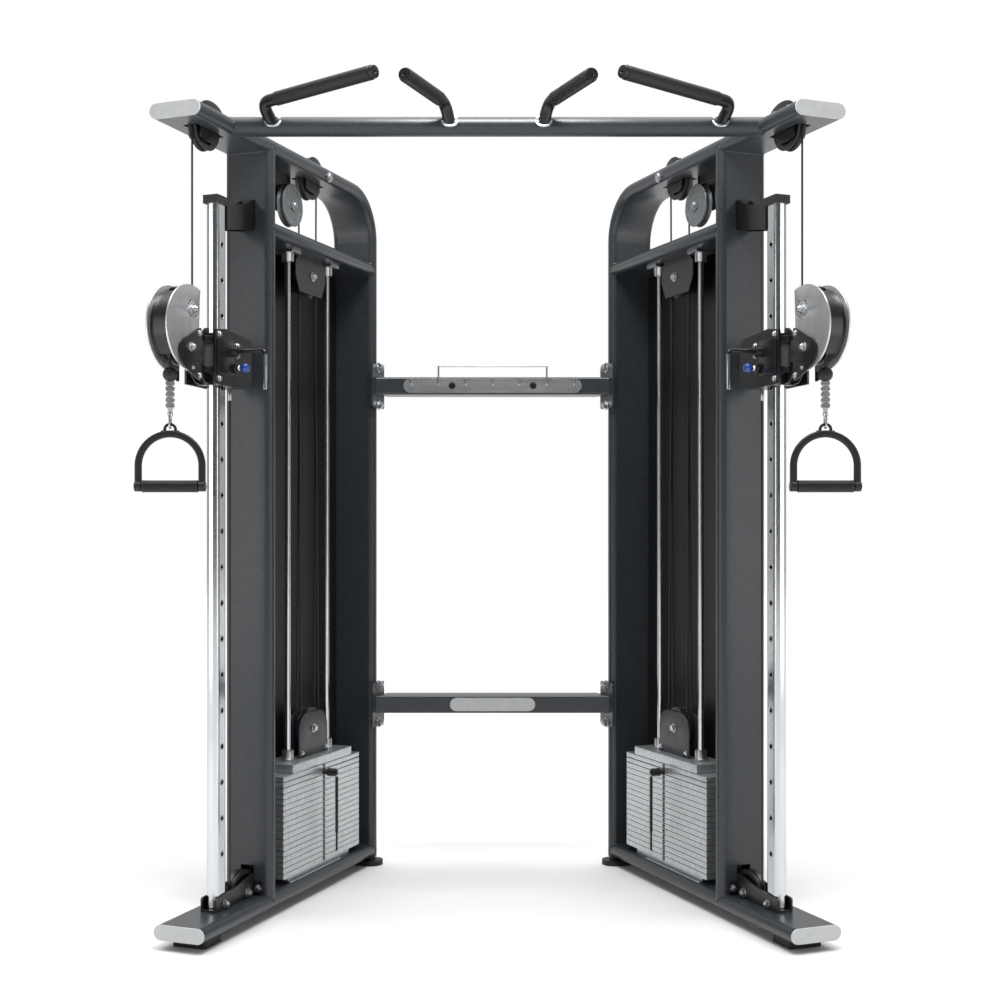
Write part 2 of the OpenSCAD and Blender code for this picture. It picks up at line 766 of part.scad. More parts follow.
// the beams' solid shapes with a hair's clearance, to cut what butts against them
module tower_solids() {
  fit = 0.1;
  both_towers() along(beam_front, bend_y) translate([0, beam_z])
    oval(tube_w + 2 * fit, tube_t + 2 * fit);
}

// one bent grip: stands up and forward from the bar, then runs forward and inward
module bent_grip(foot_x, knee, tip) {
  bar([foot_x, bar_t - front_y, bar_z], knee, grip_bar_d / 2);
  translate(knee) sphere(d = grip_bar_d);
  bar(knee, tip, grip_bar_d / 2);
}
knees = [[657, 123 - front_y, 2340], [145, 120 - front_y, 2340]];
tips = [[324, -144 - front_y, 2340], [246, -123 - front_y, 2340]];
grip_feet = [630, 131];
sleeve_from = 0.14;

module pull_up_bar() {
  reach = 752;
  color([0.25, 0.27, 0.29]) difference() {
    union() {
      translate([-reach, bar_t - front_y, bar_z]) rotate([0, 90, 0]) cylinder(d = bar_d, h = 2 * reach);
      for (side = [left, right], i = [0, 1])
        bent_grip(side * grip_feet[i], [side * knees[i][0], knees[i][1], knees[i][2]],
                  [side * tips[i][0], tips[i][1], tips[i][2]]);
    }
    tower_solids();
  }
}
module grip_sleeves() {
  color([0.07, 0.07, 0.07]) for (side = [left, right], i = [0, 1]) {
    knee = [side * knees[i][0], knees[i][1], knees[i][2]];
    tip = [side * tips[i][0], tips[i][1], tips[i][2]];
    from = knee + sleeve_from * (tip - knee);
    to = tip - 0.02 * (tip - knee);
    difference() { bar(from, to, grip_bar_d / 2 + 2.5); bar(knee, tip, grip_bar_d / 2); }
  }
}

module cross_beam(z) {
  flange_h = 150;
  end_x = half_front - post_y * sin(toe) - tube_w / 2 * cos(toe);
  y = beam_back - front_y;
  difference() {
    union() {
      translate([-end_x - 60, y, z]) rotate([90, 0, 90]) linear_extrude(2 * end_x + 120)
        difference() {
          rounded(cross_d, cross_h, 8);
          rounded(cross_d - 6, cross_h - 6, 5);
        }
    }
    both_towers() translate([-60, post_y - 100, 0])
      cube([tube_w / 2 + 60 + pad_t + flange_t, 200, 2200]);
  }
  both_towers() difference() {
    upright_plate(tube_w / 2 + pad_t + flange_t / 2, flange_t)
      translate([post_y, z]) rounded(96, flange_h, 10);
    for (s = [-1, 1]) across([post_y, z + s * bolt_off]) cylinder(r = axle_r, h = 200);
  }
}
module cross_beams() {
  color([0.25, 0.27, 0.29]) { cross_beam(upper_beam_z); cross_beam(lower_beam_z); }
}

rack_y = beam_back - front_y - cross_d / 2;
rack_bolt = 138;
module accessory_rack() {
  color([0.72, 0.73, 0.74]) {
    difference() {
      translate([0, rack_y, upper_beam_z]) rotate([90, 0, 0]) linear_extrude(5) oval(607, 49);
      for (s = [-1, 1]) translate([s * rack_bolt, rack_y + 1, upper_beam_z]) rotate([90, 0, 0])
        cylinder(r = 5, h = 8);
    }
    for (i = [-3 : 3]) translate([i * 92, rack_y - 5, upper_beam_z + 4]) {
      rotate([90, 0, 0]) cylinder(r = 4, h = 38);
      translate([0, -38, 0]) sphere(r = 4);
      translate([0, -38, 0]) cylinder(r = 4, h = 16);
    }
    for (s = [-1, 1]) translate([s * 184, rack_y - 14, upper_beam_z + 20]) cylinder(r = 3, h = 45);
    translate([-184, rack_y - 14, upper_beam_z + 65]) rotate([0, 90, 0]) cylinder(r = 3, h = 368);
    for (s = [-1, 1]) translate([s * 184, rack_y - 14, upper_beam_z + 65]) sphere(r = 3);
    for (s = [-1, 1]) translate([s * 184, rack_y - 3, upper_beam_z + 20]) rotate([90, 0, 0])
      cylinder(r = 3, h = 14);
  }
}
module name_plate() {
  color([0.8, 0.8, 0.81]) translate([0, rack_y, lower_beam_z]) rotate([90, 0, 0])
    linear_extrude(3) oval(290, 45);
}

module tower_bolts() {
  nut = 11;
  for (p = [top_front, top_rear]) across(p, -bracket_x - 12) cylinder(r = axle_r, h = 2 * bracket_x + 24);
  for (p = [leading, turning]) {
    across(p, -bracket_x - 10) cylinder(r = axle_r, h = bracket_x + 24);
    across(p, -bracket_x - 12) hex_head(nut, 8);
    across(p, pulley_w / 2 + 1.4) cylinder(r = 10, h = 4);
  }
  across(brace_pulley_at, -bracket_x - 10) cylinder(r = axle_r, h = 2 * bracket_x + 20);
  for (p = [bottom, shoe_bolt]) across(p, -32) cylinder(r = axle_r, h = 64);
  for (s = [-1, 1]) {
    across(brace_pulley_at, s * (bracket_x + 8) - 4) hex_head(nut, 8);
    across(bottom, s * 29 - 4) hex_head(nut, 8);
    across(shoe_bolt, s * 29 - 4) hex_head(9, 8);
  }
  for (z = [upper_beam_z, lower_beam_z], s = [-1, 1])
    across([post_y, z + s * bolt_off], tube_w / 2 - 14) {
      cylinder(r = axle_r, h = 24);
      translate([0, 0, 14 + pad_t + flange_t]) hex_head(13.5, 14);
    }
  across(top_rear) {
    cylinder(r = axle_r, h = tube_w / 2 + 4);
    translate([0, 0, tube_w / 2]) hex_head(13, 7);
  }
}
module frame_bolts() {
  color([0.55, 0.56, 0.57]) {
    both_towers() tower_bolts();
    for (s = [-1, 1]) translate([s * rack_bolt, rack_y, upper_beam_z]) rotate([90, 0, 0]) {
      cylinder(r = 5, h = 8);
      translate([0, 0, 5]) hex_head(9, 6);
    }
  }
}

// ---------------------------------------------------------------- what is drawn

top_rear_tubes();
base_tubes();
columns();
mid_braces();
end_caps();
feet();
guide_rails();
rail_brackets();
pulley_brackets();
guide_rods();
rod_clamps();
shroud_panels();
weight_plates();
pull_up_bar();
grip_sleeves();
cross_beams();
accessory_rack();
name_plate();
frame_bolts();
fixed_cables();
tower(left) trolley();  // left_trolley
tower(left) lock_pin();  // left_lock_pin
tower(left) clamp_knob();  // left_clamp_knob
tower(left) swivel();  // left_swivel
tower(left) upper_guide_pulley();  // left_upper_guide_pulley
tower(left) lower_guide_pulley();  // left_lower_guide_pulley
tower(left) cable_end();  // left_cable_end
tower(left) handle();  // left_handle
tower(left) grip();  // left_grip
tower(left) stack_head();  // left_stack_head
tower(left) block_pulley();  // left_block_pulley
tower(left) selector_pin();  // left_selector_pin
tower(left) top_front_pulley();  // left_top_front_pulley
tower(left) top_rear_pulley();  // left_top_rear_pulley
tower(left) turning_pulley();  // left_turning_pulley
tower(left) brace_pulley();  // left_brace_pulley
tower(left) bottom_pulley();  // left_bottom_pulley
tower(left) trolley_cable();  // left_trolley_cable
tower(left) stack_cable();  // left_stack_cable
tower(left) swivel_cable();  // left_swivel_cable
tower(right) trolley();  // right_trolley
tower(right) lock_pin();  // right_lock_pin
tower(right) clamp_knob();  // right_clamp_knob
tower(right) swivel();  // right_swivel
tower(right) upper_guide_pulley();  // right_upper_guide_pulley
tower(right) lower_guide_pulley();  // right_lower_guide_pulley
tower(right) cable_end();  // right_cable_end
tower(right) handle();  // right_handle
tower(right) grip();  // right_grip
tower(right) stack_head();  // right_stack_head
tower(right) block_pulley();  // right_block_pulley
tower(right) selector_pin();  // right_selector_pin
tower(right) top_front_pulley();  // right_top_front_pulley
tower(right) top_rear_pulley();  // right_top_rear_pulley
tower(right) turning_pulley();  // right_turning_pulley
tower(right) brace_pulley();  // right_brace_pulley
tower(right) bottom_pulley();  // right_bottom_pulley
tower(right) trolley_cable();  // right_trolley_cable
tower(right) stack_cable();  // right_stack_cable
tower(right) swivel_cable();  // right_swivel_cable
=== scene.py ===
import json
import math
import random

import bmesh
import bpy
from mathutils import Matrix, Vector


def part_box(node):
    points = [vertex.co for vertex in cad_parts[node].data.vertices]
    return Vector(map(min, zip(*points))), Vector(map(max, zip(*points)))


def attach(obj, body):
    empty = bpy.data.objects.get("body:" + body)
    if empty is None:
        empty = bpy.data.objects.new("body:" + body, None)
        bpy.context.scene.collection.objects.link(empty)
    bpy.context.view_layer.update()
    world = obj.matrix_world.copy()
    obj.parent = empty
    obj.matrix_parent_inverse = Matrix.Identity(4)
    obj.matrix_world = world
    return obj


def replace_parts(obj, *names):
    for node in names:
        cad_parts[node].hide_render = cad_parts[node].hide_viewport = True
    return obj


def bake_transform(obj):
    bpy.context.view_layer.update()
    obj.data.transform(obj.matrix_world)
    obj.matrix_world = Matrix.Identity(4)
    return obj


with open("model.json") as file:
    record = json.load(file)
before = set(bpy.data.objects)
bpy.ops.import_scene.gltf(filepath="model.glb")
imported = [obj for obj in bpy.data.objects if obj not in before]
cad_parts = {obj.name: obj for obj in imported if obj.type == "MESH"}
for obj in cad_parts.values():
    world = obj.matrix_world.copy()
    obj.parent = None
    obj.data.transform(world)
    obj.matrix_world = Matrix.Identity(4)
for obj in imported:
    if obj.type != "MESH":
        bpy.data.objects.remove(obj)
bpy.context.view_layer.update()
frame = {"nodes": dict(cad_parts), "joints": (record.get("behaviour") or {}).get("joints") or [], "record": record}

SIDES = ("left", "right")
NODES = frame["nodes"]
JOINTS = {joint["name"]: joint for joint in frame["joints"]}
MOUNTS = {mount["name"]: Vector(mount["pos_m"]) for mount in frame["record"]["mounts"]}
SLOT_OF = {part["node"]: part["material_slot"] for part in frame["record"]["subparts"]}
UP = Vector((0, 0, 1))

# Tower frame, in metres: x towards the middle of the machine, y towards the rear, z up.
FRONT_FOOT_Y = 0.090


# ------------------------------------------------------------------ places

def tower_matrix(side):
    """From the tower's own frame to the row frame. The right tower's is a mirror image."""
    front, rear = MOUNTS[side + "_front_foot"], MOUNTS[side + "_rear_foot"]
    back = (rear - front).normalized()
    inner = Vector(JOINTS[side + "_lock_pull"]["axis"]).normalized()
    origin = front - FRONT_FOOT_Y * back
    rows = [[inner[i], back[i], UP[i], origin[i]] for i in range(3)]
    return Matrix(rows + [[0, 0, 0, 1]])


TOWER = {side: tower_matrix(side) for side in SIDES}
TO_TOWER = {side: TOWER[side].inverted() for side in SIDES}


def joint_at(side, joint):
    """A joint's point in the tower's own frame."""
    return TO_TOWER[side] @ Vector(JOINTS[side + "_" + joint]["pos_m"])


def tower_point(side, x, y, z):
    return TOWER[side] @ Vector((x, y, z))


# ------------------------------------------------------------------ materials

def srgb(*values):
    """Linear colour of an eight-bit screen colour."""
    linear = []
    for value in values:
        share = value / 255
        linear.append(share / 12.92 if share <= 0.04045 else ((share + 0.055) / 1.055) ** 2.4)
    return linear + [1.0]


def link(tree, source, target):
    tree.links.new(source, target)


def noise(tree, coords, scale, detail=4.0, stretch=(1, 1, 1)):
    """A noise texture in object space. stretch squeezes it along an axis for brushed grain."""
    mapping = tree.nodes.new("ShaderNodeMapping")
    mapping.inputs["Scale"].default_value = stretch
    link(tree, coords.outputs["Object"], mapping.inputs["Vector"])
    texture = tree.nodes.new("ShaderNodeTexNoise")
    texture.inputs["Scale"].default_value = scale
    texture.inputs["Detail"].default_value = detail
    link(tree, mapping.outputs["Vector"], texture.inputs["Vector"])
    return texture.outputs["Fac"]


def spread(tree, source, low, high, from_low=0.3, from_high=0.7):
    node = tree.nodes.new("ShaderNodeMapRange")
    node.inputs["From Min"].default_value = from_low
    node.inputs["From Max"].default_value = from_high
    node.inputs["To Min"].default_value = low
    node.inputs["To Max"].default_value = high
    link(tree, source, node.inputs["Value"])
    return node.outputs["Result"]


def colour_mix(tree, factor, first, second):
    node = tree.nodes.new("ShaderNodeMix")
    node.data_type = "RGBA"
    node.inputs[6].default_value = first
    node.inputs[7].default_value = second
    link(tree, factor, node.inputs[0])
    return node.outputs[2]


def finish_of(name, dark, light, rough, metal=0.0, mottle=60, grain=900, bump=0.1,
              stretch=(1, 1, 1), coat=0.0, specular=0.5):
    """A material with mottled colour, uneven roughness and fine surface grain."""
    made = bpy.data.materials.new(name)
    made.use_nodes = True
    tree = made.node_tree
    shader = tree.nodes["Principled BSDF"]
    shader.inputs["Metallic"].default_value = metal
    shader.inputs["Specular IOR Level"].default_value = specular
    shader.inputs["Coat Weight"].default_value = coat
    shader.inputs["Coat Roughness"].default_value = 0.12
    coords = tree.nodes.new("ShaderNodeTexCoord")
    broad = noise(tree, coords, mottle, 5.0, stretch)
    fine = noise(tree, coords, grain, 3.0, stretch)
    link(tree, colour_mix(tree, spread(tree, broad, 0, 1), dark, light),
         shader.inputs["Base Color"])
    link(tree, spread(tree, fine, rough[0], rough[1]), shader.inputs["Roughness"])
    dent = tree.nodes.new("ShaderNodeBump")
    dent.inputs["Strength"].default_value = bump
    dent.inputs["Distance"].default_value = 0.0004
    link(tree, fine, dent.inputs["Height"])
    link(tree, dent.outputs["Normal"], shader.inputs["Normal"])
    return made


MATERIALS = {
    "frame_coat": finish_of("frame_coat", srgb(44, 48, 52), srgb(53, 57, 61), (0.26, 0.36),
                            mottle=90, grain=1400, bump=0.25),
    "black_coat": finish_of("black_coat", srgb(17, 18, 19), srgb(25, 26, 28), (0.24, 0.36),
                            mottle=120, grain=1500, bump=0.2),
    "shroud": finish_of("shroud", srgb(11, 12, 13), srgb(16, 17, 18), (0.42, 0.55),
                        mottle=70, grain=1300, bump=0.3),
    "light_cap": finish_of("light_cap", srgb(188, 190, 192), srgb(198, 200, 201), (0.38, 0.48),
                           mottle=50, grain=1100, bump=0.08),
    "black_rubber": finish_of("black_rubber", srgb(16, 16, 17), srgb(26, 26, 27), (0.5, 0.66),
                              mottle=160, grain=2200, bump=0.5),
    "chrome": finish_of("chrome", srgb(196, 199, 202), srgb(212, 215, 217), (0.12, 0.2),
                        metal=1.0, mottle=8, grain=500, bump=0.02, stretch=(1, 1, 0.1)),
    "bright_steel": finish_of("bright_steel", srgb(182, 184, 186), srgb(204, 206, 208),
                              (0.26, 0.4), metal=1.0, mottle=40, grain=900, bump=0.12,
                              stretch=(0.2, 1, 1)),
    "bolt_steel": finish_of("bolt_steel", srgb(160, 162, 165), srgb(196, 198, 200), (0.2, 0.34),
                            metal=1.0, mottle=200, grain=1800, bump=0.1),
    "weight_steel": finish_of("weight_steel", srgb(176, 179, 181), srgb(196, 199, 201),
                              (0.28, 0.4), metal=0.75, mottle=70, grain=1500, bump=0.3),
    "head_steel": finish_of("head_steel", srgb(44, 46, 49), srgb(56, 58, 61), (0.32, 0.46),
                            metal=0.1, mottle=90, grain=1400, bump=0.25),
    "satin_alloy": finish_of("satin_alloy", srgb(196, 198, 200), srgb(214, 215, 217),
                             (0.3, 0.42), metal=0.9, mottle=40, grain=1000, bump=0.1,
                             stretch=(1, 1, 0.15)),
    "pulley_nylon": finish_of("pulley_nylon", srgb(24, 25, 27), srgb(34, 36, 38), (0.26, 0.38),
                              mottle=110, grain=1600, bump=0.15),
    "web_nylon": finish_of("web_nylon", srgb(26, 27, 29), srgb(38, 40, 42), (0.26, 0.38),
                           mottle=110, grain=1600, bump=0.15),
    "grip_rubber": finish_of("grip_rubber", srgb(14, 14, 15), srgb(23, 23, 24), (0.4, 0.54),
                             mottle=160, grain=2000, bump=0.35),
    "grey_pulley": finish_of("grey_pulley", srgb(96, 99, 101), srgb(118, 121, 123),
                             (0.3, 0.42), metal=0.3, mottle=80, grain=1500, bump=0.15),
    "blue_knob": finish_of("blue_knob", srgb(28, 62, 140), srgb(36, 76, 160), (0.12, 0.2),
                           mottle=60, grain=900, bump=0.04, coat=0.5),
    "cable_jacket": finish_of("cable_jacket", srgb(16, 16, 17), srgb(26, 26, 27), (0.25, 0.38),
                              mottle=200, grain=1600, bump=0.1),
}


def dress_cad_nodes():
    for name, node in NODES.items():
        node.data.materials.clear()
        node.data.materials.append(MATERIALS[SLOT_OF[name]])


# ------------------------------------------------------------------ mesh building

MM = 0.001
TOWER_MM = {side: TOWER[side] @ Matrix.Scale(MM, 4) for side in SIDES}
ROW_MM = Matrix.Scale(MM, 4)
ACROSS = Matrix(((0, 0, 1, 0), (1, 0, 0, 0), (0, 1, 0, 0), (0, 0, 0, 1)))  # z axis to tower x
AHEAD = Matrix(((1, 0, 0, 0), (0, 0, -1, 0), (0, 1, 0, 0), (0, 0, 0, 1)))  # z axis to tower -y
SHARP = math.radians(34)


def joint_mm(side, joint):
    return joint_at(side, joint) / MM


def move(x=0, y=0, z=0):
    return Matrix.Translation((x, y, z))


def turn(degrees, axis):
    return Matrix.Rotation(math.radians(degrees), 4, axis)


def outward(sign, x, y, z):
    """Frame on a side face, x from the tower's middle plane, with its z axis pointing away."""
    return move(sign * x, y, z) @ ACROSS @ turn(0 if sign > 0 else 180, "X")


def loft(rings, loop=False):
    """Skin through rings of points with equal counts."""
    made = bmesh.new()
    rows = [[made.verts.new(point) for point in ring] for ring in rings]
    count = len(rows[0])
    pairs = list(zip(rows, rows[1:])) + ([(rows[-1], rows[0])] if loop else [])
    for first, second in pairs:
        for i in range(count):
            j = (i + 1) % count
            made.faces.new((first[i], first[j], second[j], second[i]))
    if not loop:
        made.faces.new(list(reversed(rows[0])))
        made.faces.new(rows[-1])
    return made


def lathe(profile, steps=48, matrix=None):
    """Turned shape: profile is a closed outline of (radius, height) about the z axis."""
    rings = []
    for i in range(steps):
        angle = 2 * math.pi * i / steps
        rings.append([Vector((r * math.cos(angle), r * math.sin(angle), h)) for r, h in profile])
    made = loft(rings, loop=True)
    bmesh.ops.remove_doubles(made, verts=made.verts, dist=1e-4)
    bmesh.ops.dissolve_degenerate(made, edges=made.edges, dist=1e-5)
    if matrix:
        made.transform(matrix)
    return made


def axle(place, low, high, radius=6):
    """Plain shaft across the tower, between two distances from its middle plane."""
    return lathe([(0, low), (radius, low), (radius, high), (0, high)], 24,
                 Matrix.Translation(place) @ ACROSS)


def circle_points(radius, count):
    return [(radius * math.cos(2 * math.pi * i / count), radius * math.sin(2 * math.pi * i / count))
            for i in range(count)]


def sweep(path, section, loop=False, start_side=None):
    """Carries a flat section along a path without twisting it."""
    path = [Vector(point) for point in path]
    last = len(path) - 1
    rings = []
    side = Vector(start_side) if start_side else None
    for i, point in enumerate(path):
        before = path[i - 1] if i else (path[last] if loop else point)
        after = path[i + 1] if i < last else (path[0] if loop else point)
        ahead = (after - before).normalized()
        if side is None:
            side = ahead.orthogonal().normalized()
        side = (side - ahead * side.dot(ahead)).normalized()
        other = ahead.cross(side)
        rings.append([point + side * a + other * b for a, b in section])
    return loft(rings, loop=loop)


def tube(path, radius, sides=16, loop=False):
    return sweep(path, circle_points(radius, sides), loop)


def fillet(points, radius, steps=8):
    """Rounds the corners of a run of straight lines."""
    points = [Vector(point) for point in points]
    path = [points[0]]
    for before, corner, after in zip(points, points[1:], points[2:]):
        inward, outward = (before - corner).normalized(), (after - corner).normalized()
        reach = min(radius, (before - corner).length / 2, (after - corner).length / 2)
        start, end = corner + inward * reach, corner + outward * reach
        for i in range(steps + 1):
            share = i / steps
            path.append(start.lerp(corner, share).lerp(corner.lerp(end, share), share))
    path.append(points[-1])
    return path


def arc(centre, radius, start, sweep_by, steps=24, x=0.0):
    """Points on a pulley in the plane of the tower; angles are in degrees from the rear, upwards."""
    path = []
    for i in range(steps + 1):
        angle = math.radians(start + sweep_by * i / steps)
        path.append(Vector((x, centre[1] + radius * math.cos(angle),
                            centre[2] + radius * math.sin(angle))))
    return path


def run(start, end, steps):
    """Evenly spaced points on a straight line."""
    start, end = Vector(start), Vector(end)
    return [start.lerp(end, i / steps) for i in range(steps + 1)]


def plate(outlines, thickness, bevel=0.6, matrix=None):
    """Bevelled flat plate in the xy plane; the first outline is its edge, the others are holes."""
    data = bpy.data.curves.new("outline", "CURVE")
    data.dimensions = "2D"
    data.fill_mode = "BOTH"
    data.bevel_depth = bevel
    data.bevel_resolution = 2
    data.extrude = thickness / 2 - bevel
    data.offset = -bevel
    for outline in outlines:
        spline = data.splines.new("POLY")
        spline.points.add(len(outline) - 1)
        spline.use_cyclic_u = True
        for point, place in zip(spline.points, outline):
            point.co = (place[0], place[1], 0, 1)
    holder = bpy.data.objects.new("outline", data)
    bpy.context.scene.collection.objects.link(holder)
    bpy.context.view_layer.update()
    flat = bpy.data.meshes.new_from_object(holder.evaluated_get(bpy.context.evaluated_depsgraph_get()))
    bpy.data.objects.remove(holder)
    bpy.data.curves.remove(data)
    made = bmesh.new()
    made.from_mesh(flat)
    bpy.data.meshes.remove(flat)
    bmesh.ops.remove_doubles(made, verts=made.verts, dist=1e-4)
    if matrix:
        made.transform(matrix)
    return made


def circle(x, y, radius, steps=32):
    return [(x + a, y + b) for a, b in circle_points(radius, steps)]


def rounded_outline(points, radius, steps=5):
    """A closed outline with rounded corners."""
    ring = [Vector((x, y, 0)) for x, y in points]
    outline = []
    count = len(ring)
    for i, corner in enumerate(ring):
        before, after = ring[i - 1], ring[(i + 1) % count]
        size = radius[i] if isinstance(radius, (list, tuple)) else radius
        reach = min(size, (before - corner).length * 0.49, (after - corner).length * 0.49)
        start = corner + (before - corner).normalized() * reach
        end = corner + (after - corner).normalized() * reach
        for k in range(steps + 1):
            share = k / steps
            point = start.lerp(corner, share).lerp(corner.lerp(end, share), share)
            outline.append((point.x, point.y))
    return outline


def oval_outline(width, height, steps=14):
    outline = []
    for sign in (1, -1):
        for i in range(steps + 1):
            angle = math.radians(-90 + 180 * i / steps)
            outline.append((sign * ((width - height) / 2 + height / 2 * math.cos(angle)),
                            sign * height / 2 * math.sin(angle)))
    return outline


def block(size, centre, bevel=1.0, matrix=None):
    made = bmesh.new()
    bmesh.ops.create_cube(made, size=1)
    made.transform(move(*centre) @ Matrix.Diagonal((size[0], size[1], size[2], 1)))
    if bevel:
        bmesh.ops.bevel(made, geom=made.edges[:], offset=bevel, segments=3, profile=0.5,
                        affect="EDGES")
    if matrix:
        made.transform(matrix)
    return made


def hex_bolt(radius, height, matrix, washer=True, thread=0.0):
    """Hexagon head with a chamfered face, on a washer, standing along z from zero."""
    low = 2.0 if washer else 0.0
    shapes = []
    if washer:
        shapes.append(lathe([(0, 0), (radius * 1.3, 0), (radius * 1.3, 1.4), (radius * 1.22, 2),
                             (0, 2)], 32))
    rings = []
    for z, size in ((low, 0.95), (low + 0.8, 1.0), (low + height - 1.6, 1.0),
                    (low + height - 0.5, 0.93), (low + height, 0.84)):
        rings.append([Vector((a * size, b * size, z)) for a, b in circle_points(radius, 6)])
    head = loft(rings)
    shapes.append(head)
    shapes.append(lathe([(0, low + height - 0.2), (radius * 0.8, low + height - 0.2),
                         (radius * 0.74, low + height + 0.5), (radius * 0.3, low + height + 0.2),
                         (0, low + height + 0.2)], 24))
    if thread:
        top = low + height
        turns = [(0, top)]
        for i in range(int(thread / 1.5)):
            turns += [(radius * 0.5, top + 1.5 * i), (radius * 0.56, top + 1.5 * i + 0.75)]
        turns += [(radius * 0.42, top + thread), (0, top + thread)]
        shapes.append(lathe(turns, 24))
    made = merged(shapes)
    made.transform(matrix)
    return made


def merged(shapes):
    """One bmesh from several."""
    made = bmesh.new()
    for shape in shapes:
        scratch = bpy.data.meshes.new("scratch")
        shape.to_mesh(scratch)
        shape.free()
        made.from_mesh(scratch)
        bpy.data.meshes.remove(scratch)
    return made


def piece(name, shape, side, finish, body="root", blend_to=None):
    """Puts a shape, in millimetres of the tower's frame, into the scene, on a CAD body."""
    matrix = TOWER_MM[side] if side in SIDES else ROW_MM
    shape.transform(matrix)
    bmesh.ops.recalc_face_normals(shape, faces=shape.faces)
    mesh = bpy.data.meshes.new(name)
    shape.to_mesh(mesh)
    shape.free()
    mesh.shade_smooth()
    mesh.set_sharp_from_angle(angle=SHARP)
    mesh.materials.append(MATERIALS[finish])
    made = bpy.data.objects.new(name, mesh)
    bpy.context.scene.collection.objects.link(made)
    if blend_to:
        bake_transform(made)
    else:
        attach(made, body)
    return made


# ------------------------------------------------------------------ dimensions shared with the part

TUBE_W, TUBE_T = 157, 42
BEAM_Z, BASE_Z, BASE_TOP = 2279, 49, 70
COLUMN_Y, POST_Y, BRACE_Z = 387, 1106, 2036
CROSS_BEAMS_Z = (1637, 550)
RAIL_Y, RAIL_W = 190, 39
HOLE_TOP, HOLE_PITCH, HOLE_COUNT = 1953, 101.5, 18
STACK_Y, ROD_OFF, ROD_D = 750, 134, 19
PLATE_W, PLATE_L, PLATE_PITCH, PLATE_COUNT, PINNED = 117, 529, 17.3, 18, 2
STACK_Z = 88
HEAD_Z = STACK_Z + PLATE_COUNT * PLATE_PITCH
HEAD_TOP = HEAD_Z + 27
CABLE_R = 2.8
LINE_R = 60
FRONT_LINE = 64
GRIP_TILT = 20.65
CHEEK_X, CHEEK_T = 28, 5
CHEEK_Y, CHEEK_Z, CHEEK_R = 5, 1692, 117
LOCK_Z, LOCK_REACH = 1648.5, 157
HANDLE_Y, GRIP_Z = -45, 1262


# ------------------------------------------------------------------ cables

def centres(side):
    """Pulley centres in millimetres of the tower's frame."""
    names = {"front": "top_front_pulley_spin", "rear": "top_rear_pulley_spin",
             "turning": "turning_pulley_spin", "brace": "brace_pulley_spin",
             "bottom": "bottom_pulley_spin", "block": "block_pulley_spin",
             "upper": "upper_guide_pulley_spin", "lower": "lower_guide_pulley_spin"}
    found = {key: joint_mm(side, joint) for key, joint in names.items()}
    found["leading"] = Vector((0, COLUMN_Y - 1 + LINE_R, found["turning"].z))
    return found


def fixed_cable(side, at):
    """The lengths of cable that never change: over the beam, over the brace pulley and down
    the column to the bottom pulley."""
    r = LINE_R
    top = arc(at["front"], r, 180, -90) + arc(at["rear"], r, 90, -90)
    over_brace = arc(at["brace"], r - 10, 180, -180)
    down = (arc(at["turning"], r, 0, 90) + arc(at["leading"], r, 90, 90)
            + arc(at["bottom"], r, 0, -180))
    shapes = [tube(path, CABLE_R, 12) for path in (top, over_brace, down)]
    cable = piece("fixed_cable_" + side, merged(shapes), side, "cable_jacket")
    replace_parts(cable, "fixed_cables")


def straight_cable(name, side, start, end, from_body, to_body, node):
    """A straight length that grows or shrinks as one of its ends moves."""
    cable = piece(name + "_" + side, tube(run(start, end, 40), CABLE_R, 12), side,
                  "cable_jacket", from_body, to_body)
    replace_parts(cable, side + "_" + node)


def stack_cables(side, at):
    block, stack = at["block"], side + "_stack"
    off = 8
    for sign in (-1, 1):
        loop = piece("block_cable_%d_%s" % (sign, side),
                     tube(arc(block, LINE_R, 180, 180, x=sign * off), CABLE_R, 12), side,
                     "cable_jacket", stack)
        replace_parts(loop, side + "_stack_cable")
    runs = ((-off, 1, at["rear"], LINE_R), (-off, -1, at["brace"], LINE_R - 10),
            (off, 1, at["brace"], LINE_R - 10), (off, -1, at["turning"], None))
    for i, (x, way, upper, reach) in enumerate(runs):
        top_y = upper.y + way * reach if reach else upper.y + LINE_R
        start = (0, top_y, upper.z)
        end = (x, block.y + way * LINE_R, block.z)
        straight_cable("stack_run_%d" % i, side, start, end, "root", stack, "stack_cable")


def swivel_cables(side, at):
    """Between the guide pulleys: over the lower one, across, and under the upper one."""
    lower, upper = at["lower"], at["upper"]
    r_low, r_up = 45, FRONT_LINE - upper.y
    gap = upper - lower
    tilt = math.degrees(math.atan2(gap.z, gap.y))
    cross = tilt - math.degrees(math.asin((r_low + r_up) / gap.length))
    path = arc(lower, r_low, 180, cross - 90) + arc(upper, r_up, cross - 90, 90 - cross)
    loop = piece("guide_cable_" + side, tube(path, CABLE_R, 12), side, "cable_jacket",
                 side + "_swivel")
    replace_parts(loop, side + "_swivel_cable")
    straight_cable("handle_run", side, (0, -r_low, lower.z), (0, -r_low, 1580),
                   side + "_swivel", side + "_cable_end", "swivel_cable")


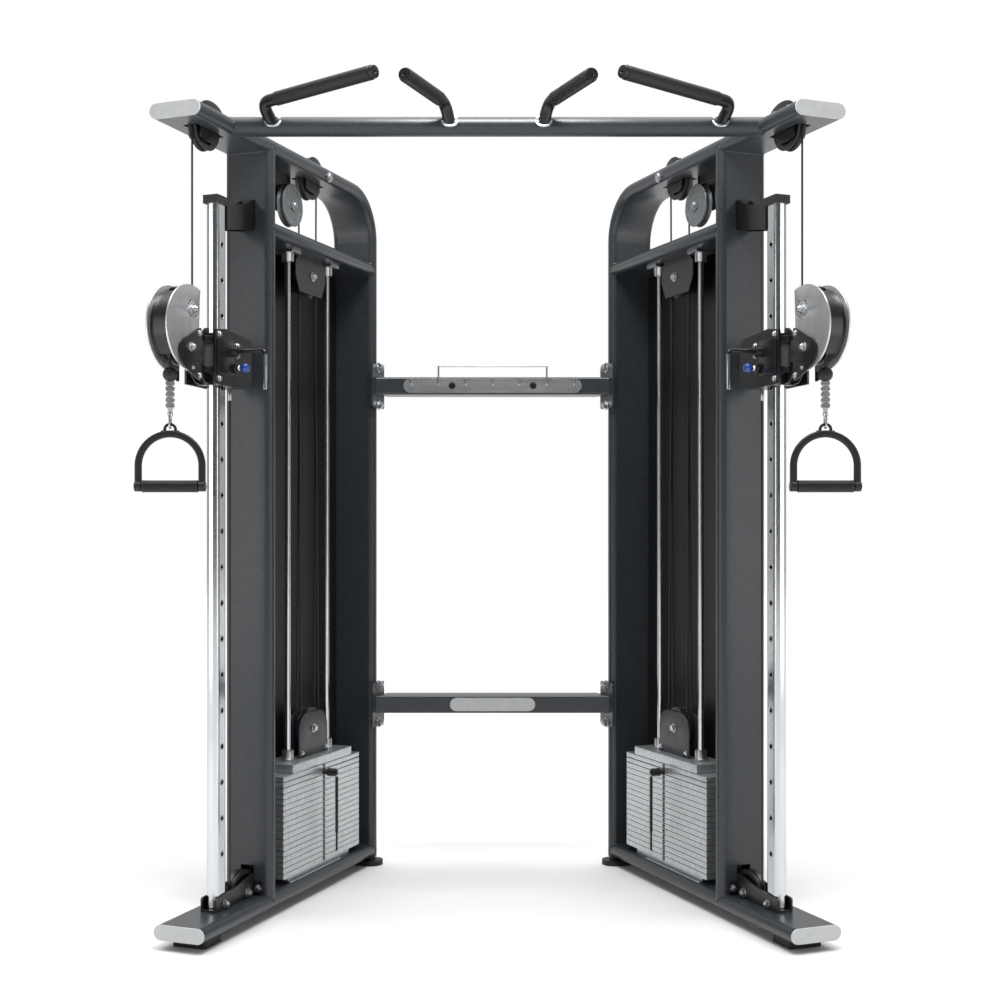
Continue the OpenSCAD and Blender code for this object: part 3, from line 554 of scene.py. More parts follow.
def cables():
    for side in SIDES:
        at = centres(side)
        fixed_cable(side, at)
        stack_cables(side, at)
        swivel_cables(side, at)
        trolley = side + "_trolley"
        straight_cable("upper_run", side, (0, FRONT_LINE, at["front"].z),
                       (0, FRONT_LINE, at["upper"].z), "root", trolley, "trolley_cable")
        line = at["bottom"].y - LINE_R
        straight_cable("lower_run", side, (0, line, at["bottom"].z), (0, line, 1553),
                       "root", trolley, "trolley_cable")
        stud = lathe([(0, 0), (5, 0), (6, 1.5), (6, 26), (4, 34), (4, 52), (0, 52)], 24,
                     move(0, line, 1518))
        nut = hex_bolt(9, 8, move(0, line, 1575), thread=6)
        piece("cable_anchor_" + side, merged([stud, nut]), side, "bolt_steel", trolley)


# ------------------------------------------------------------------ pulleys

def pulley_shape(line_r, reach, width, hub_r=17, ribs=6):
    """Grooved rim, recessed web with raised ribs, and a hub."""
    half, lip = width / 2, 2.2
    rim_r = line_r + reach
    groove = [(rim_r, -half + lip), (line_r + 1.5, -3.2), (line_r - 2.2, -2.2),
              (line_r - 3.1, 0), (line_r - 2.2, 2.2), (line_r + 1.5, 3.2), (rim_r, half - lip)]
    edge = rim_r - 0.8
    body = [(6.1, -half - 1), (hub_r - 1, -half - 1), (hub_r, -half), (hub_r, -half + 5),
            (line_r - 11, -half + 5), (line_r - 9, -half + 0.8), (line_r - 8, -half),
            (edge, -half), (rim_r, -half + 0.8)] + groove + [
            (rim_r, half - 0.8), (edge, half), (line_r - 8, half), (line_r - 9, half - 0.8),
            (line_r - 11, half - 5), (hub_r, half - 5), (hub_r, half), (hub_r - 1, half + 1),
            (6.1, half + 1)]
    shapes = [lathe(body, 72)]
    length = line_r - 10 - hub_r
    for i in range(ribs):
        for sign in (-1, 1):
            rib = block((length, 4, 3), (hub_r + length / 2, 0, sign * (half - 4)), 0.8)
            rib.transform(turn(360 / ribs * i, "Z"))
            shapes.append(rib)
    return merged(shapes)


def bearing_shape(width):
    """Steel bearing rings at both ends of a pulley's hub."""
    half = width / 2 + 1
    rings = []
    for sign in (-1, 1):
        rings.append(lathe([(6.1, sign * (half - 2)), (12.5, sign * (half - 2)),
                            (12.5, sign * (half + 0.15)), (11.6, sign * (half + 0.4)),
                            (9.9, sign * (half + 0.4)), (9.6, sign * (half - 0.1)),
                            (9.0, sign * (half - 0.1)), (8.7, sign * (half + 0.4)),
                            (6.1, sign * (half + 0.4))], 40))
    return merged(rings)


def plain_pulley_shape(line_r, reach, width):
    """The grey turning pulley: a flat dished face inside a rounded rim."""
    half, rim_r = width / 2, line_r + reach
    side_face = [(8, -half - 1), (15, -half - 1), (16, -half + 1.5), (line_r - 14, -half + 2.4),
                 (line_r - 11, -half + 2.2), (line_r - 9.5, -half + 0.6), (line_r - 7, -half),
                 (rim_r - 1, -half), (rim_r, -half + 1)]
    groove = [(rim_r, -half + 2.2), (line_r + 1.5, -3.2), (line_r - 2.2, -2.2), (line_r - 3.1, 0),
              (line_r - 2.2, 2.2), (line_r + 1.5, 3.2), (rim_r, half - 2.2)]
    return lathe(side_face + groove + [(r, -h) for r, h in reversed(side_face)], 72)


def pulleys():
    for side in SIDES:
        at = centres(side)
        large = {"top_front_pulley": ("front", 60, 6), "top_rear_pulley": ("rear", 60, 6),
                 "brace_pulley": ("brace", 50, 5), "bottom_pulley": ("bottom", 60, 6),
                 "upper_guide_pulley": ("upper", 46, 4), "lower_guide_pulley": ("lower", 45, 4)}
        for name, (key, line_r, reach) in large.items():
            body = side + "_" + name
            matrix = Matrix.Translation(at[key]) @ ACROSS
            wheel = pulley_shape(line_r, reach, 24)
            wheel.transform(matrix)
            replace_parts(piece(name + "_wheel_" + side, wheel, side, "web_nylon", body), body)
            rings = bearing_shape(24)
            rings.transform(matrix)
            piece(name + "_bearing_" + side, rings, side, "bolt_steel", body)
        body = side + "_turning_pulley"
        wheel = plain_pulley_shape(60, 6, 24)
        wheel.transform(Matrix.Translation(at["turning"]) @ ACROSS)
        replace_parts(piece("turning_wheel_" + side, wheel, side, "grey_pulley", body), body)


# ------------------------------------------------------------------ swivel and trolley

def arc_slot(x, y, inner, outer, start, end, steps=8):
    """Outline of a slot along an arc."""
    outline = []
    for radius, angles in ((outer, (start, end)), (inner, (end, start))):
        for i in range(steps + 1):
            angle = math.radians(angles[0] + (angles[1] - angles[0]) * i / steps)
            outline.append((x + radius * math.cos(angle), y + radius * math.sin(angle)))
    return outline


def cheek_outline():
    """A circle cut straight at the rear, stepped back where it carries the hinge."""
    cut_y, step_y, hinge_y, top_z = 46, 40, 59, 1789
    outline = []
    start = math.degrees(math.asin((top_z - CHEEK_Z) / CHEEK_R))
    end = 360 - math.degrees(math.acos((step_y - CHEEK_Y) / CHEEK_R))
    steps = 72
    for i in range(steps + 1):
        angle = math.radians(start + 4 + (end - start - 4) * i / steps)
        outline.append((CHEEK_Y + CHEEK_R * math.cos(angle), CHEEK_Z + CHEEK_R * math.sin(angle)))
    outline += [(step_y, 1602), (hinge_y, 1602), (hinge_y, 1666), (cut_y, 1666)]
    outline.append((cut_y, CHEEK_Z + math.sqrt(CHEEK_R ** 2 - (cut_y - CHEEK_Y) ** 2)))
    return [(y, z) for y, z in outline if y <= hinge_y + 0.1]


def swivel_cheeks(side, at, body):
    """Two silver cheeks with four arc slots around each axle."""
    holes = []
    for key in ("upper", "lower"):
        for quarter in (45, 135, 225, 315):
            holes.append(arc_slot(at[key].y, at[key].z, 22, 27, quarter - 24, quarter + 24))
    for sign in (-1, 1):
        cheek = plate([cheek_outline()] + holes, CHEEK_T, 0.8,
                      move(sign * (CHEEK_X + CHEEK_T / 2)) @ ACROSS)
        made = piece("swivel_cheek_%d_%s" % (sign, side), cheek, side, "satin_alloy", body)
        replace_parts(made, side + "_swivel")


def swivel_hinge(side, body):
    """Hinge barrel with the web behind it, and the spacers that hold the cheeks apart."""
    hinge = joint_mm(side, "swivel_turn")
    barrel = lathe([(0, -64), (10, -64), (10, -58.5), (6, -58), (6, -40), (12, -40), (12.5, -39),
                    (12.5, 26), (12, 27), (6, 27), (6, 45.5), (9, 45.5), (10, 46.5), (10, 50),
                    (8.5, 51.5), (0, 51.5)], 40, move(0, hinge.y, 1640))
    web = block((2 * CHEEK_X - 0.2, 6, 64), (0, 56, 1634), 1)
    spacers = [lathe([(4, -CHEEK_X), (8, -CHEEK_X), (8, CHEEK_X), (4, CHEEK_X)], 24,
                     move(0, y, z) @ ACROSS) for y, z in ((-62, 1748), (-70, 1640), (2, 1798))]
    piece("swivel_hinge_" + side, merged([barrel, web]), side, "black_coat", body)
    piece("swivel_spacers_" + side, merged(spacers), side, "black_coat", body)


def hinge_plates(side, body):
    """Black plates bolted over the cheeks, stepped back to pass the trolley."""
    corners = [(-60, 1626), (-54, 1600), (-22, 1580), (34, 1556), (53, 1552), (53, 1602), (66, 1605),
               (66, 1663), (53, 1666), (53, 1698), (40, 1696), (-6, 1672), (-52, 1652)]
    radii = [12, 12, 12, 12, 6, 3, 6, 6, 3, 6, 8, 12, 12]
    large, small = 7, 4.5
    plates, bolts = [], []
    for sign in (-1, 1):
        plates.append(plate([rounded_outline(corners, radii)], 4.4, 1.0,
                            move(sign * (CHEEK_X + CHEEK_T + 2.3)) @ ACROSS))
        for y, z, size in ((43, 1682, large), (43, 1566, large), (8, 1584, small)):
            bolts.append(hex_bolt(size, 4, outward(sign, 37.5, y, z)))
    piece("hinge_plate_bolts_" + side, merged(bolts), side, "bolt_steel", body)
    piece("hinge_plates_" + side, merged(plates), side, "black_coat", body)


def swivel_band(side, at, body):
    """Curved guard between the cheeks, and dark rings behind their slots."""
    edge = CHEEK_X - 0.3
    band = sweep(arc((0, CHEEK_Y, CHEEK_Z), 101, 95, 134, 40),
                 [(-1.5, -edge), (1.5, -edge), (1.5, edge), (-1.5, edge)], start_side=(0, 0, 1))
    profile = [(19, -CHEEK_X + 3), (30, -CHEEK_X + 3), (30, -CHEEK_X + 0.4), (19, -CHEEK_X + 0.4)]
    backing = [lathe(profile, 40, Matrix.Translation(at[key]) @ ACROSS
                     @ turn(180 if sign > 0 else 0, "X"))
               for key in ("upper", "lower") for sign in (-1, 1)]
    piece("swivel_band_" + side, merged([band] + backing), side, "black_coat", body)


def swivel_bolts(side, at, body):
    """Axles of the two guide pulleys with their bolt heads; the lower ones sit on the plates."""
    bolts = []
    for key, over in (("upper", 0), ("lower", 4.6)):
        for sign in (-1, 1):
            bolts.append(hex_bolt(10, 8, outward(sign, CHEEK_X + CHEEK_T + over, at[key].y, at[key].z),
                                  thread=5 if sign > 0 else 0))
        bolts.append(axle(at[key], -CHEEK_X, CHEEK_X))
    piece("swivel_bolts_" + side, merged(bolts), side, "bolt_steel", body)


def swivels():
    for side in SIDES:
        at, body = centres(side), side + "_swivel"
        swivel_cheeks(side, at, body)
        swivel_hinge(side, body)
        hinge_plates(side, body)
        swivel_band(side, at, body)
        swivel_bolts(side, at, body)


def trolley_pieces():
    """Bolts, liners and a raised pad on the trolley's side plates."""
    for side in SIDES:
        body = side + "_trolley"
        bolts = []
        for sign in (-1, 1):
            for y, z in ((124, 1690), (124, 1566), (222, 1668), (222, 1640)):
                bolts.append(hex_bolt(7, 5, outward(sign, 50, y, z)))
        bolts.append(lathe([(0, -3), (8, -3), (8.5, -2), (8.5, 0), (0, 0)], 32,
                           move(0, FRONT_LINE, 1583)))
        piece("trolley_bolts_" + side, merged(bolts), side, "bolt_steel", body)
        liners = []
        for z in (1554, 1690):
            outer = rounded_outline([(-29, -37), (29, -37), (29, 37), (-29, 37)], 14)
            inner = rounded_outline([(-20, -28.5), (20, -28.5), (20, 28.5), (-20, 28.5)], 14)
            liners.append(plate([outer, inner], 8, 1, move(0, RAIL_Y, z + 4)))
        piece("trolley_liners_" + side, merged(liners), side, "pulley_nylon", body)
        pads = []
        for sign in (-1, 1):
            outline = rounded_outline([(112, 1580), (200, 1580), (200, 1680), (112, 1680)], 10)
            pads.append(plate([outline], 5, 1.2, move(sign * 51.5) @ ACROSS))
        piece("trolley_pads_" + side, merged(pads), side, "black_coat", body)
        boss = lathe([(7, 0), (12.5, 0), (13, 1), (13, 2.4), (12, 3.4), (7, 3.4)], 32,
                     move(69, RAIL_Y, LOCK_Z) @ ACROSS)
        knob_boss = lathe([(5.3, 0), (14, 0), (14, 5), (9, 8), (9, 11), (5.3, 11)], 32,
                          move(56, 200, 1602) @ ACROSS)
        gussets = [boss, knob_boss]
        for sign in (-1, 1):
            for outline in ([(76, 1685), (126, 1685), (126, 1708), (104, 1706)],
                            [(76, 1583), (104, 1554), (126, 1552), (126, 1583)]):
                gussets.append(plate([rounded_outline(outline, 3)], 4, 0.8,
                                     move(sign * 15.5) @ ACROSS))
        piece("trolley_bosses_" + side, merged(gussets), side, "black_coat", body)


def lock_handles():
    """L-shaped lock pin with its chrome sleeve, and the blue knob on its stem."""
    for side in SIDES:
        body = side + "_lock_pin"
        path = fillet([(20, RAIL_Y, LOCK_Z), (LOCK_REACH, RAIL_Y, LOCK_Z),
                       (LOCK_REACH, RAIL_Y, 1539)], 14)
        rod = tube(path, 5.6, 20)
        collar = lathe([(5.5, 0), (9.5, 0), (10, 0.8), (10, 3.4), (9.5, 4), (5.5, 4)], 32,
                       move(86, RAIL_Y, LOCK_Z) @ ACROSS)
        made = piece("lock_rod_" + side, merged([rod, collar]), side, "black_coat", body)
        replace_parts(made, body)
        sleeve = lathe([(5.4, 0), (6.4, 0.8), (6.45, 96), (6, 98), (5.4, 98)], 32,
                       move(LOCK_REACH, RAIL_Y, 1538.5))
        piece("lock_sleeve_" + side, sleeve, side, "chrome", body)
        body = side + "_clamp_knob"
        centre = joint_mm(side, "clamp_turn")
        head = lathe([(0, 13), (5, 12.8), (9.5, 10.6), (13, 6), (14, 0.5), (13, -5), (9.6, -10.2),
                      (7, -12), (7, -14), (0, -14)][::-1], 48,
                     move(88, centre.y, centre.z) @ ACROSS)
        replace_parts(piece("knob_" + side, head, side, "blue_knob", body), body)
        stem = lathe([(0, 0), (5, 0), (5, 52), (0, 52)], 24, move(22, centre.y, centre.z) @ ACROSS)
        nut = hex_bolt(8.5, 5, move(66.6, centre.y, centre.z) @ ACROSS, washer=False)
        piece("knob_stem_" + side, merged([stem, nut]), side, "chrome", body)


# ------------------------------------------------------------------ hanging handle

def tilt_about(x, y):
    """Turns a shape of the tower's frame to face straight ahead."""
    return move(x, y, 0) @ turn(GRIP_TILT, "Z") @ move(-x, -y, 0)


def hanging_handles():
    """Stop ball, perforated strap and snap hook at each cable's end."""
    y = HANDLE_Y
    for side in SIDES:
        face_front = tilt_about(0, y)
        end_body = side + "_cable_end"
        stop = lathe([(0, 20), (3.2, 20), (3.4, 17), (8, 18.2), (14, 14.5), (18.5, 7.8), (20, 0),
                      (18.5, -7.8), (14, -14.3), (8, -18.3), (5, -19.4), (0, -19.4)][::-1], 48,
                     move(0, y, 1562))
        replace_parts(piece("stop_ball_" + side, stop, side, "grip_rubber", end_body), end_body)
        links = []
        for i in range(5):
            z = 1538 - 15 * i
            for plane in (-3, 3):
                ring = plate([oval_outline(24, 17), circle(0, 0, 4.4)], 2.2, 0.5,
                             face_front @ move(0, y + plane, z) @ turn(90, "X"))
                links.append(ring)
            links.append(lathe([(0, -5), (4.2, -5), (4.2, 5), (0, 5)], 20,
                               face_front @ move(0, y, z) @ turn(90, "X")))
        spine = block((13, 3.4, 84), (0, y, 1505), 0.8, face_front)
        piece("strap_" + side, merged(links + [spine]), side, "bright_steel", end_body)
        hook = fillet([(0, -7, 15), (0, 9, 15), (0, 9.5, -17), (0, 0, -21), (0, -9.5, -17),
                       (0, -9.5, 9), (0, -7, 15)], 9, 6)
        place = face_front @ move(0, y, 1438)
        gate = [place @ point for point in hook]
        eye = lathe([(0, -2), (6.5, -2), (7.5, 0), (7, 8), (4, 11), (0, 11)], 28,
                    face_front @ move(0, y, 1452))
        piece("snap_hook_" + side, merged([tube(gate, 2.9, 14), eye]), side, "chrome", end_body)


def d_handle_shape(y):
    """The moulded frame: rounded bar along a D, lug at the top and bosses for the grip."""
    half, straight, low = 85.5, 55, GRIP_Z
    path = [(-half, y, low + 2)]
    for i in range(41):
        angle = math.pi - math.pi * i / 40
        path.append((half * math.cos(angle), y, low + straight + half * math.sin(angle)))
    path.append((half, y, low + 2))
    section = rounded_outline([(-9.5, -7), (9.5, -7), (9.5, 7), (-9.5, 7)], 6, 4)
    shapes = [sweep(path, section, start_side=(1, 0, 0))]
    lug = plate([circle(0, 0, 18, 48), circle(0, 0, 11, 40)], 10, 2.2,
                move(0, y, 1414) @ turn(90, "X"))
    shapes.append(lug)
    for sign in (-1, 1):
        boss = lathe([(0, -9.5), (12.5, -9.5), (14, -8), (14, 8), (12.5, 9.5), (0, 9.5)], 40,
                     move(sign * half, y, low) @ turn(90, "Y"))
        shapes.append(boss)
        gusset = block((16, 9, 16), (sign * 17, y, 1404), 3, None)
        shapes.append(gusset)
    return merged(shapes)


def d_handles():
    y, low = HANDLE_Y, GRIP_Z
    for side in SIDES:
        face_front = tilt_about(0, y)
        frame_shape = d_handle_shape(y)
        frame_shape.transform(face_front)
        body = side + "_handle"
        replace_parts(piece("d_frame_" + side, frame_shape, side, "grip_rubber", body), body)
        ends = [lathe([(0, 0), (6, 0), (6.5, 1), (5.5, 2.6), (0, 3)], 6,
                      face_front @ move(sign * 94.9, y, low) @ turn(90 * sign, "Y"))
                for sign in (-1, 1)]
        piece("grip_bar_ends_" + side, merged(ends), side, "bolt_steel", body)
        profile = [(8.2, -75), (15, -75), (16.5, -74), (16.5, -69), (15.6, -68)]
        ridges = 44
        for i in range(ridges):
            x = -68 + 136 * (i + 0.5) / ridges
            profile += [(15.6, x - 1.1), (16.2, x - 0.5), (16.2, x + 0.5), (15.6, x + 1.1)]
        profile += [(15.6, 68), (16.5, 69), (16.5, 74), (15, 75), (8.2, 75)]
        sleeve = lathe(profile, 40, face_front @ move(0, y, low) @ turn(90, "Y"))
        body = side + "_grip"
        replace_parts(piece("grip_sleeve_" + side, sleeve, side, "grip_rubber", body), body)


# ------------------------------------------------------------------ rail, stack and frame details

def rail_details():
    """Countersunk rims on the lock holes."""
    for side in SIDES:
        rims = []
        for i in range(HOLE_COUNT):
            z = HOLE_TOP - i * HOLE_PITCH
            rims.append(lathe([(6.55, -0.4), (9.2, -0.1), (9.6, 0.35), (8.6, 0.7), (6.9, 0.5),
                               (6.55, 0.1)], 32, move(RAIL_W / 2, RAIL_Y, z) @ ACROSS))
        piece("hole_rims_" + side, merged(rims), side, "bright_steel")


def selector(side):
    body = side + "_selector_pin"
    centre_z = TO_TOWER[side] @ ((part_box(body)[0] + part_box(body)[1]) / 2) / MM
    z = centre_z.z
    face = 58.5
    handle = lathe([(0, face + 1), (9, face + 1), (9, face + 11), (8, face + 13), (12, face + 15),
                    (13, face + 17), (11.6, face + 30), (13, face + 40), (12, face + 43),
                    (0, face + 43)], 40, move(0, STACK_Y, z) @ ACROSS)
    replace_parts(piece("pin_handle_" + side, handle, side, "grip_rubber", body), body)
    shaft = lathe([(0, -7), (3, -8), (5, -6), (5, face + 2), (0, face + 2)], 28,
                  move(0, STACK_Y, z) @ ACROSS)
    cap = lathe([(0, face + 43), (7, face + 43), (7, face + 48), (5.5, face + 49), (0, face + 49)],
                28, move(0, STACK_Y, z) @ ACROSS)
    piece("pin_shaft_" + side, merged([shaft, cap]), side, "black_coat", body)
    lanyard(side, z)


def lanyard(side, z):
    """Limp curly cord hanging from the selector pin's handle, with a ring at its end."""
    body, x, length = side + "_selector_pin", 104, 0.235
    path = [(x, STACK_Y, z - 13 - 235 * i / 90) for i in range(91)]
    rings = []
    for i, point in enumerate(path):
        size = 6.2 if i % 2 and i < 68 else 3.4
        rings.append([Vector(point) + Vector((a, b, 0)) for a, b in circle_points(size, 12)])
    cord = piece("lanyard_" + side, loft(rings), side, "grip_rubber", body)
    eye = tube([(x + a, STACK_Y, z - 254 + b) for a, b in circle_points(6, 24)], 1.6, 10, loop=True)
    ring = piece("lanyard_ring_" + side, eye, side, "bright_steel", body)


def plate_slab(length, thickness, middle_r, rod_r, z):
    """A weight plate with rounded edges and its three upright holes."""
    half = PLATE_W / 2
    ends = (STACK_Y - length / 2, STACK_Y + length / 2)
    outline = rounded_outline([(-half, ends[0]), (half, ends[0]), (half, ends[1]),
                               (-half, ends[1])], 5)
    holes = [circle(0, STACK_Y - ROD_OFF, rod_r), circle(0, STACK_Y, middle_r),
             circle(0, STACK_Y + ROD_OFF, rod_r)]
    return plate([outline] + holes, thickness, 2.0, move(0, 0, z))


def block_cheek_outline():
    """Upright plate with round shoulders and two notches over the head plate."""
    low, shoulder = HEAD_TOP, HEAD_TOP + 83
    outline = [(STACK_Y - 97, low)]
    for y in (STACK_Y - 70, STACK_Y + 70):
        for degrees in range(180, -1, -20):
            angle = math.radians(degrees)
            outline.append((y + 9 * math.cos(angle), low + 9 * math.sin(angle)))
    outline.append((STACK_Y + 97, low))
    for y, start in ((STACK_Y + 42, 0), (STACK_Y - 42, 90)):
        for degrees in range(start, start + 91, 9):
            angle = math.radians(degrees)
            outline.append((y + 55 * math.cos(angle), shoulder + 55 * math.sin(angle)))
    return outline


def stack_head(side, block_centre):
    """Silver head plate and pinned plates, the dark cheeks of the block and the stem."""
    body, node = side + "_stack", side + "_stack_head"
    plates = [plate_slab(PLATE_L, PLATE_PITCH - 1.8, 14, ROD_D / 2 + 2, HEAD_Z - (i + 0.5) * PLATE_PITCH)
              for i in range(PINNED)]
    plates.append(plate_slab(409, HEAD_TOP - HEAD_Z, 13, 18.2, (HEAD_Z + HEAD_TOP) / 2))
    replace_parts(piece("head_plates_" + side, merged(plates), side, "weight_steel", body), node)
    cheeks = [plate([block_cheek_outline(), circle(block_centre.y, block_centre.z, 6)], 5, 1.0,
                    move(sign * 20) @ ACROSS) for sign in (-1, 1)]
    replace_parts(piece("block_cheeks_" + side, merged(cheeks), side, "head_steel", body), node)
    profile = [(0, STACK_Z + 5), (10, STACK_Z + 5), (12.5, STACK_Z + 8)]
    for i in range(PLATE_COUNT - 1):
        z = STACK_Z + (i + 1) * PLATE_PITCH
        profile += [(12.5, z - 1.5), (11.6, z - 0.8), (11.6, z + 0.8), (12.5, z + 1.5)]
    profile += [(12.5, HEAD_Z + 2), (0, HEAD_Z + 2)]
    stem = lathe(profile, 32, move(0, STACK_Y, 0))
    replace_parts(piece("selector_stem_" + side, stem, side, "bright_steel", body), node)


def selector_holes_painted_shade(side):
    """Countersunk mouths of the selector holes on the plates' inner faces, each closed by a black disc that is
    painted shade for the hole's dark inside.
    """
    groups = {"root": range(PLATE_COUNT - PINNED), side + "_stack": range(PLATE_COUNT - PINNED, PLATE_COUNT)}
    for body, plates in groups.items():
        painted_shade_mouths = []
        for i in plates:
            z = STACK_Z + (i + 0.5) * PLATE_PITCH
            # The raised lip is the countersink; the black disc across the mouth is painted shade standing in for
            # the shadowed hole.
            painted_shade_mouths.append(lathe([(0, -3), (7, -3), (8.2, 0), (7.6, 0.8), (6.6, 0.3), (0, 0.1)], 28,
                                move(PLATE_W / 2, STACK_Y, z) @ ACROSS))
        piece("selector_holes_%s_%s" % (body, side), merged(painted_shade_mouths), side, "black_coat", body)


def stack_details():
    for side in SIDES:
        selector(side)
        selector_holes_painted_shade(side)
        stack_head(side, centres(side)["block"])
        strip = plate([rounded_outline([(-60, 528), (60, 528), (60, 873), (-60, 873)], 6)], 3.4,
                      0.8, move(0, 0, BASE_TOP + 1.9))
        piece("stack_strip_" + side, strip, side, "bright_steel")
        body = side + "_stack"
        block_centre = centres(side)["block"]
        bolts = []
        for sign in (-1, 1):
            bolts.append(hex_bolt(11, 8, outward(sign, 22.5, block_centre.y, block_centre.z)))
            for y in (-82, 82):
                bolts.append(hex_bolt(6, 4.5, outward(sign, 22.5, STACK_Y + y, HEAD_TOP + 16)))
        piece("block_bolts_" + side, merged(bolts), side, "bolt_steel", body)
        bushes = []
        for way in (-1, 1):
            bushes.append(lathe([(9.6, 0), (18.2, 0), (19.5, 1), (19.5, 6), (18.4, 7), (18.4, 30),
                                 (17, 33.2), (9.6, 33.2)], 40,
                                move(0, STACK_Y + way * ROD_OFF, HEAD_TOP)))
        piece("stack_bushes_" + side, merged(bushes), side, "bright_steel", body)


def weld(path, radius=2.6):
    """A bead of weld along a closed path, with its ripples."""
    ripple = random.Random(7)
    rings = []
    points = [Vector(point) for point in path]
    count = len(points)
    for i, point in enumerate(points):
        ahead = (points[(i + 1) % count] - points[i - 1]).normalized()
        side = ahead.orthogonal().normalized()
        other = ahead.cross(side)
        size = radius * (0.9 + 0.2 * ripple.random())
        rings.append([point + (side * a + other * b) * size for a, b in circle_points(1, 8)])
    return loft(rings, loop=True)


def oval_loop(width, height):
    """Evenly spaced points around a flat oval."""
    straight = width - height
    length = 2 * straight + math.pi * height
    count = int(length / 4)
    loop = []
    for i in range(count):
        along = length * i / count
        if along < straight:
            loop.append((along - straight / 2, -height / 2))
            continue
        along -= straight
        if along < math.pi * height / 2:
            angle = -math.pi / 2 + along / (height / 2)
            loop.append((straight / 2 + height / 2 * math.cos(angle), height / 2 * math.sin(angle)))
            continue
        along -= math.pi * height / 2
        if along < straight:
            loop.append((straight / 2 - along, height / 2))
            continue
        along -= straight
        angle = math.pi / 2 + along / (height / 2)
        loop.append((-straight / 2 + height / 2 * math.cos(angle), height / 2 * math.sin(angle)))
    return loop


def edge_height(x):
    """Half the height of the flat oval at a distance across it."""
    over = max(0.0, abs(x) - (TUBE_W - TUBE_T) / 2)
    return math.sqrt(max(0.0, (TUBE_T / 2) ** 2 - over ** 2))


def welds():
    for side in SIDES:
        beads = []
        loop = oval_loop(TUBE_W, TUBE_T)
        beads.append(weld([(x, COLUMN_Y + y, BASE_Z + edge_height(x)) for x, y in loop]))
        beads.append(weld([(x, COLUMN_Y + y, BEAM_Z - edge_height(x)) for x, y in loop]))
        beads.append(weld([(x, COLUMN_Y + edge_height(x), BRACE_Z + z) for x, z in loop]))
        beads.append(weld([(x, POST_Y - edge_height(x), BRACE_Z + z) for x, z in loop]))
        beads.append(weld([(x, POST_Y - edge_height(x), BASE_Z + z) for x, z in loop]))
        piece("weld_beads_" + side, merged(beads), side, "frame_coat")


def beam_covers():
    """Black hoods over the pulleys where they rise above the top beams."""
    for side in SIDES:
        at = centres(side)
        hoods, bolts = [], []
        top = BEAM_Z + TUBE_T / 2
        for key, reach in (("front", 74), ("rear", 58)):
            centre = at[key]
            for sign in (-1, 1):
                outline = [(centre.y - reach, top)]
                for i in range(19):
                    angle = math.pi - math.pi * i / 18
                    outline.append((centre.y + reach * 0.86 * math.cos(angle),
                                    top + 4 + 34 * math.sin(angle)))
                outline.append((centre.y + reach, top))
                hoods.append(plate([outline], 3, 0.8, move(sign * 25.5) @ ACROSS))
                for y in (-34, 34):
                    bolts.append(hex_bolt(5.5, 4, outward(sign, 27, centre.y + y, top + 13)))
                foot = block((16, 2 * reach - 12, 2.6), (sign * 34, centre.y, top + 1.3), 0.8)
                hoods.append(foot)
        piece("beam_covers_" + side, merged(hoods), side, "black_coat")
        piece("beam_cover_bolts_" + side, merged(bolts), side, "bolt_steel")


def bracket_bolts():
    """Bolts and pulley axles of the towers' frames, and the hook rack's two bolts."""
    for side in SIDES:
        at = centres(side)
        bolts = []
        seats = [(at["bottom"].y, at["bottom"].z, 25, 11), (RAIL_Y + 7, BASE_TOP + 16, 25, 9),
                 (at["brace"].y, at["brace"].z, 19.6, 12)]
        for y, z, x, size in seats:
            for sign in (-1, 1):
                bolts.append(hex_bolt(size, 7, outward(sign, x, y, z), thread=4 if sign > 0 else 0))
        for key in ("turning", "leading"):
            centre = at[key]
            bolts.append(hex_bolt(11, 7, outward(1, 13.4, centre.y, centre.z), thread=3))
            bolts.append(hex_bolt(11, 7, outward(-1, 19.6, centre.y, centre.z)))
            bolts.append(axle(centre, -22, 15))
        for key, reach in (("front", 25), ("rear", 25), ("brace", 20), ("bottom", 26)):
            bolts.append(axle(at[key], -reach, reach))
        bolts.append(hex_bolt(13, 6, move(TUBE_W / 2 - 1, at["rear"].y, at["rear"].z) @ ACROSS))
        for z in CROSS_BEAMS_Z:
            for sign in (-1, 1):
                bolts.append(hex_bolt(13.5, 11, move(TUBE_W / 2 + 9, POST_Y, z + sign * 64)
                                      @ ACROSS, thread=6))
        for z in (2050, 2096):
            bolts.append(hex_bolt(8, 5, move(0, COLUMN_Y - TUBE_T / 2 - 4, z) @ AHEAD))
        for x in (-38, 38):
            bolts.append(hex_bolt(8, 5, move(x, COLUMN_Y - TUBE_T / 2 - 4, BASE_TOP + 21) @ AHEAD))
        made = piece("tower_bolts_" + side, merged(bolts), side, "bolt_steel")
        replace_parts(made, "frame_bolts")
    rack_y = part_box("accessory_rack")[1].y / MM - 5
    pair = [hex_bolt(9, 6, move(sign * 138, rack_y, CROSS_BEAMS_Z[0]) @ AHEAD) for sign in (-1, 1)]
    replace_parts(piece("rack_bolts", merged(pair), None, "black_coat"), "frame_bolts")


def pull_up_grips(front):
    """Foot, knee and tip of each of the four bent grips."""
    for sign in (-1, 1):
        for foot, knee, tip in ((627, (657, 123, 2340), (324, -144, 2340)),
                                (131, (145, 120, 2340), (246, -123, 2340))):
            yield (Vector((sign * foot, front + 136, 2282)),
                   Vector((sign * knee[0], front + knee[1], knee[2])),
                   Vector((sign * tip[0], front + tip[1], tip[2])))


def pointing(place, ahead):
    """Frame at a place with its z axis along a direction."""
    return Matrix.Translation(place) @ ahead.to_track_quat("Z", "Y").to_matrix().to_4x4()


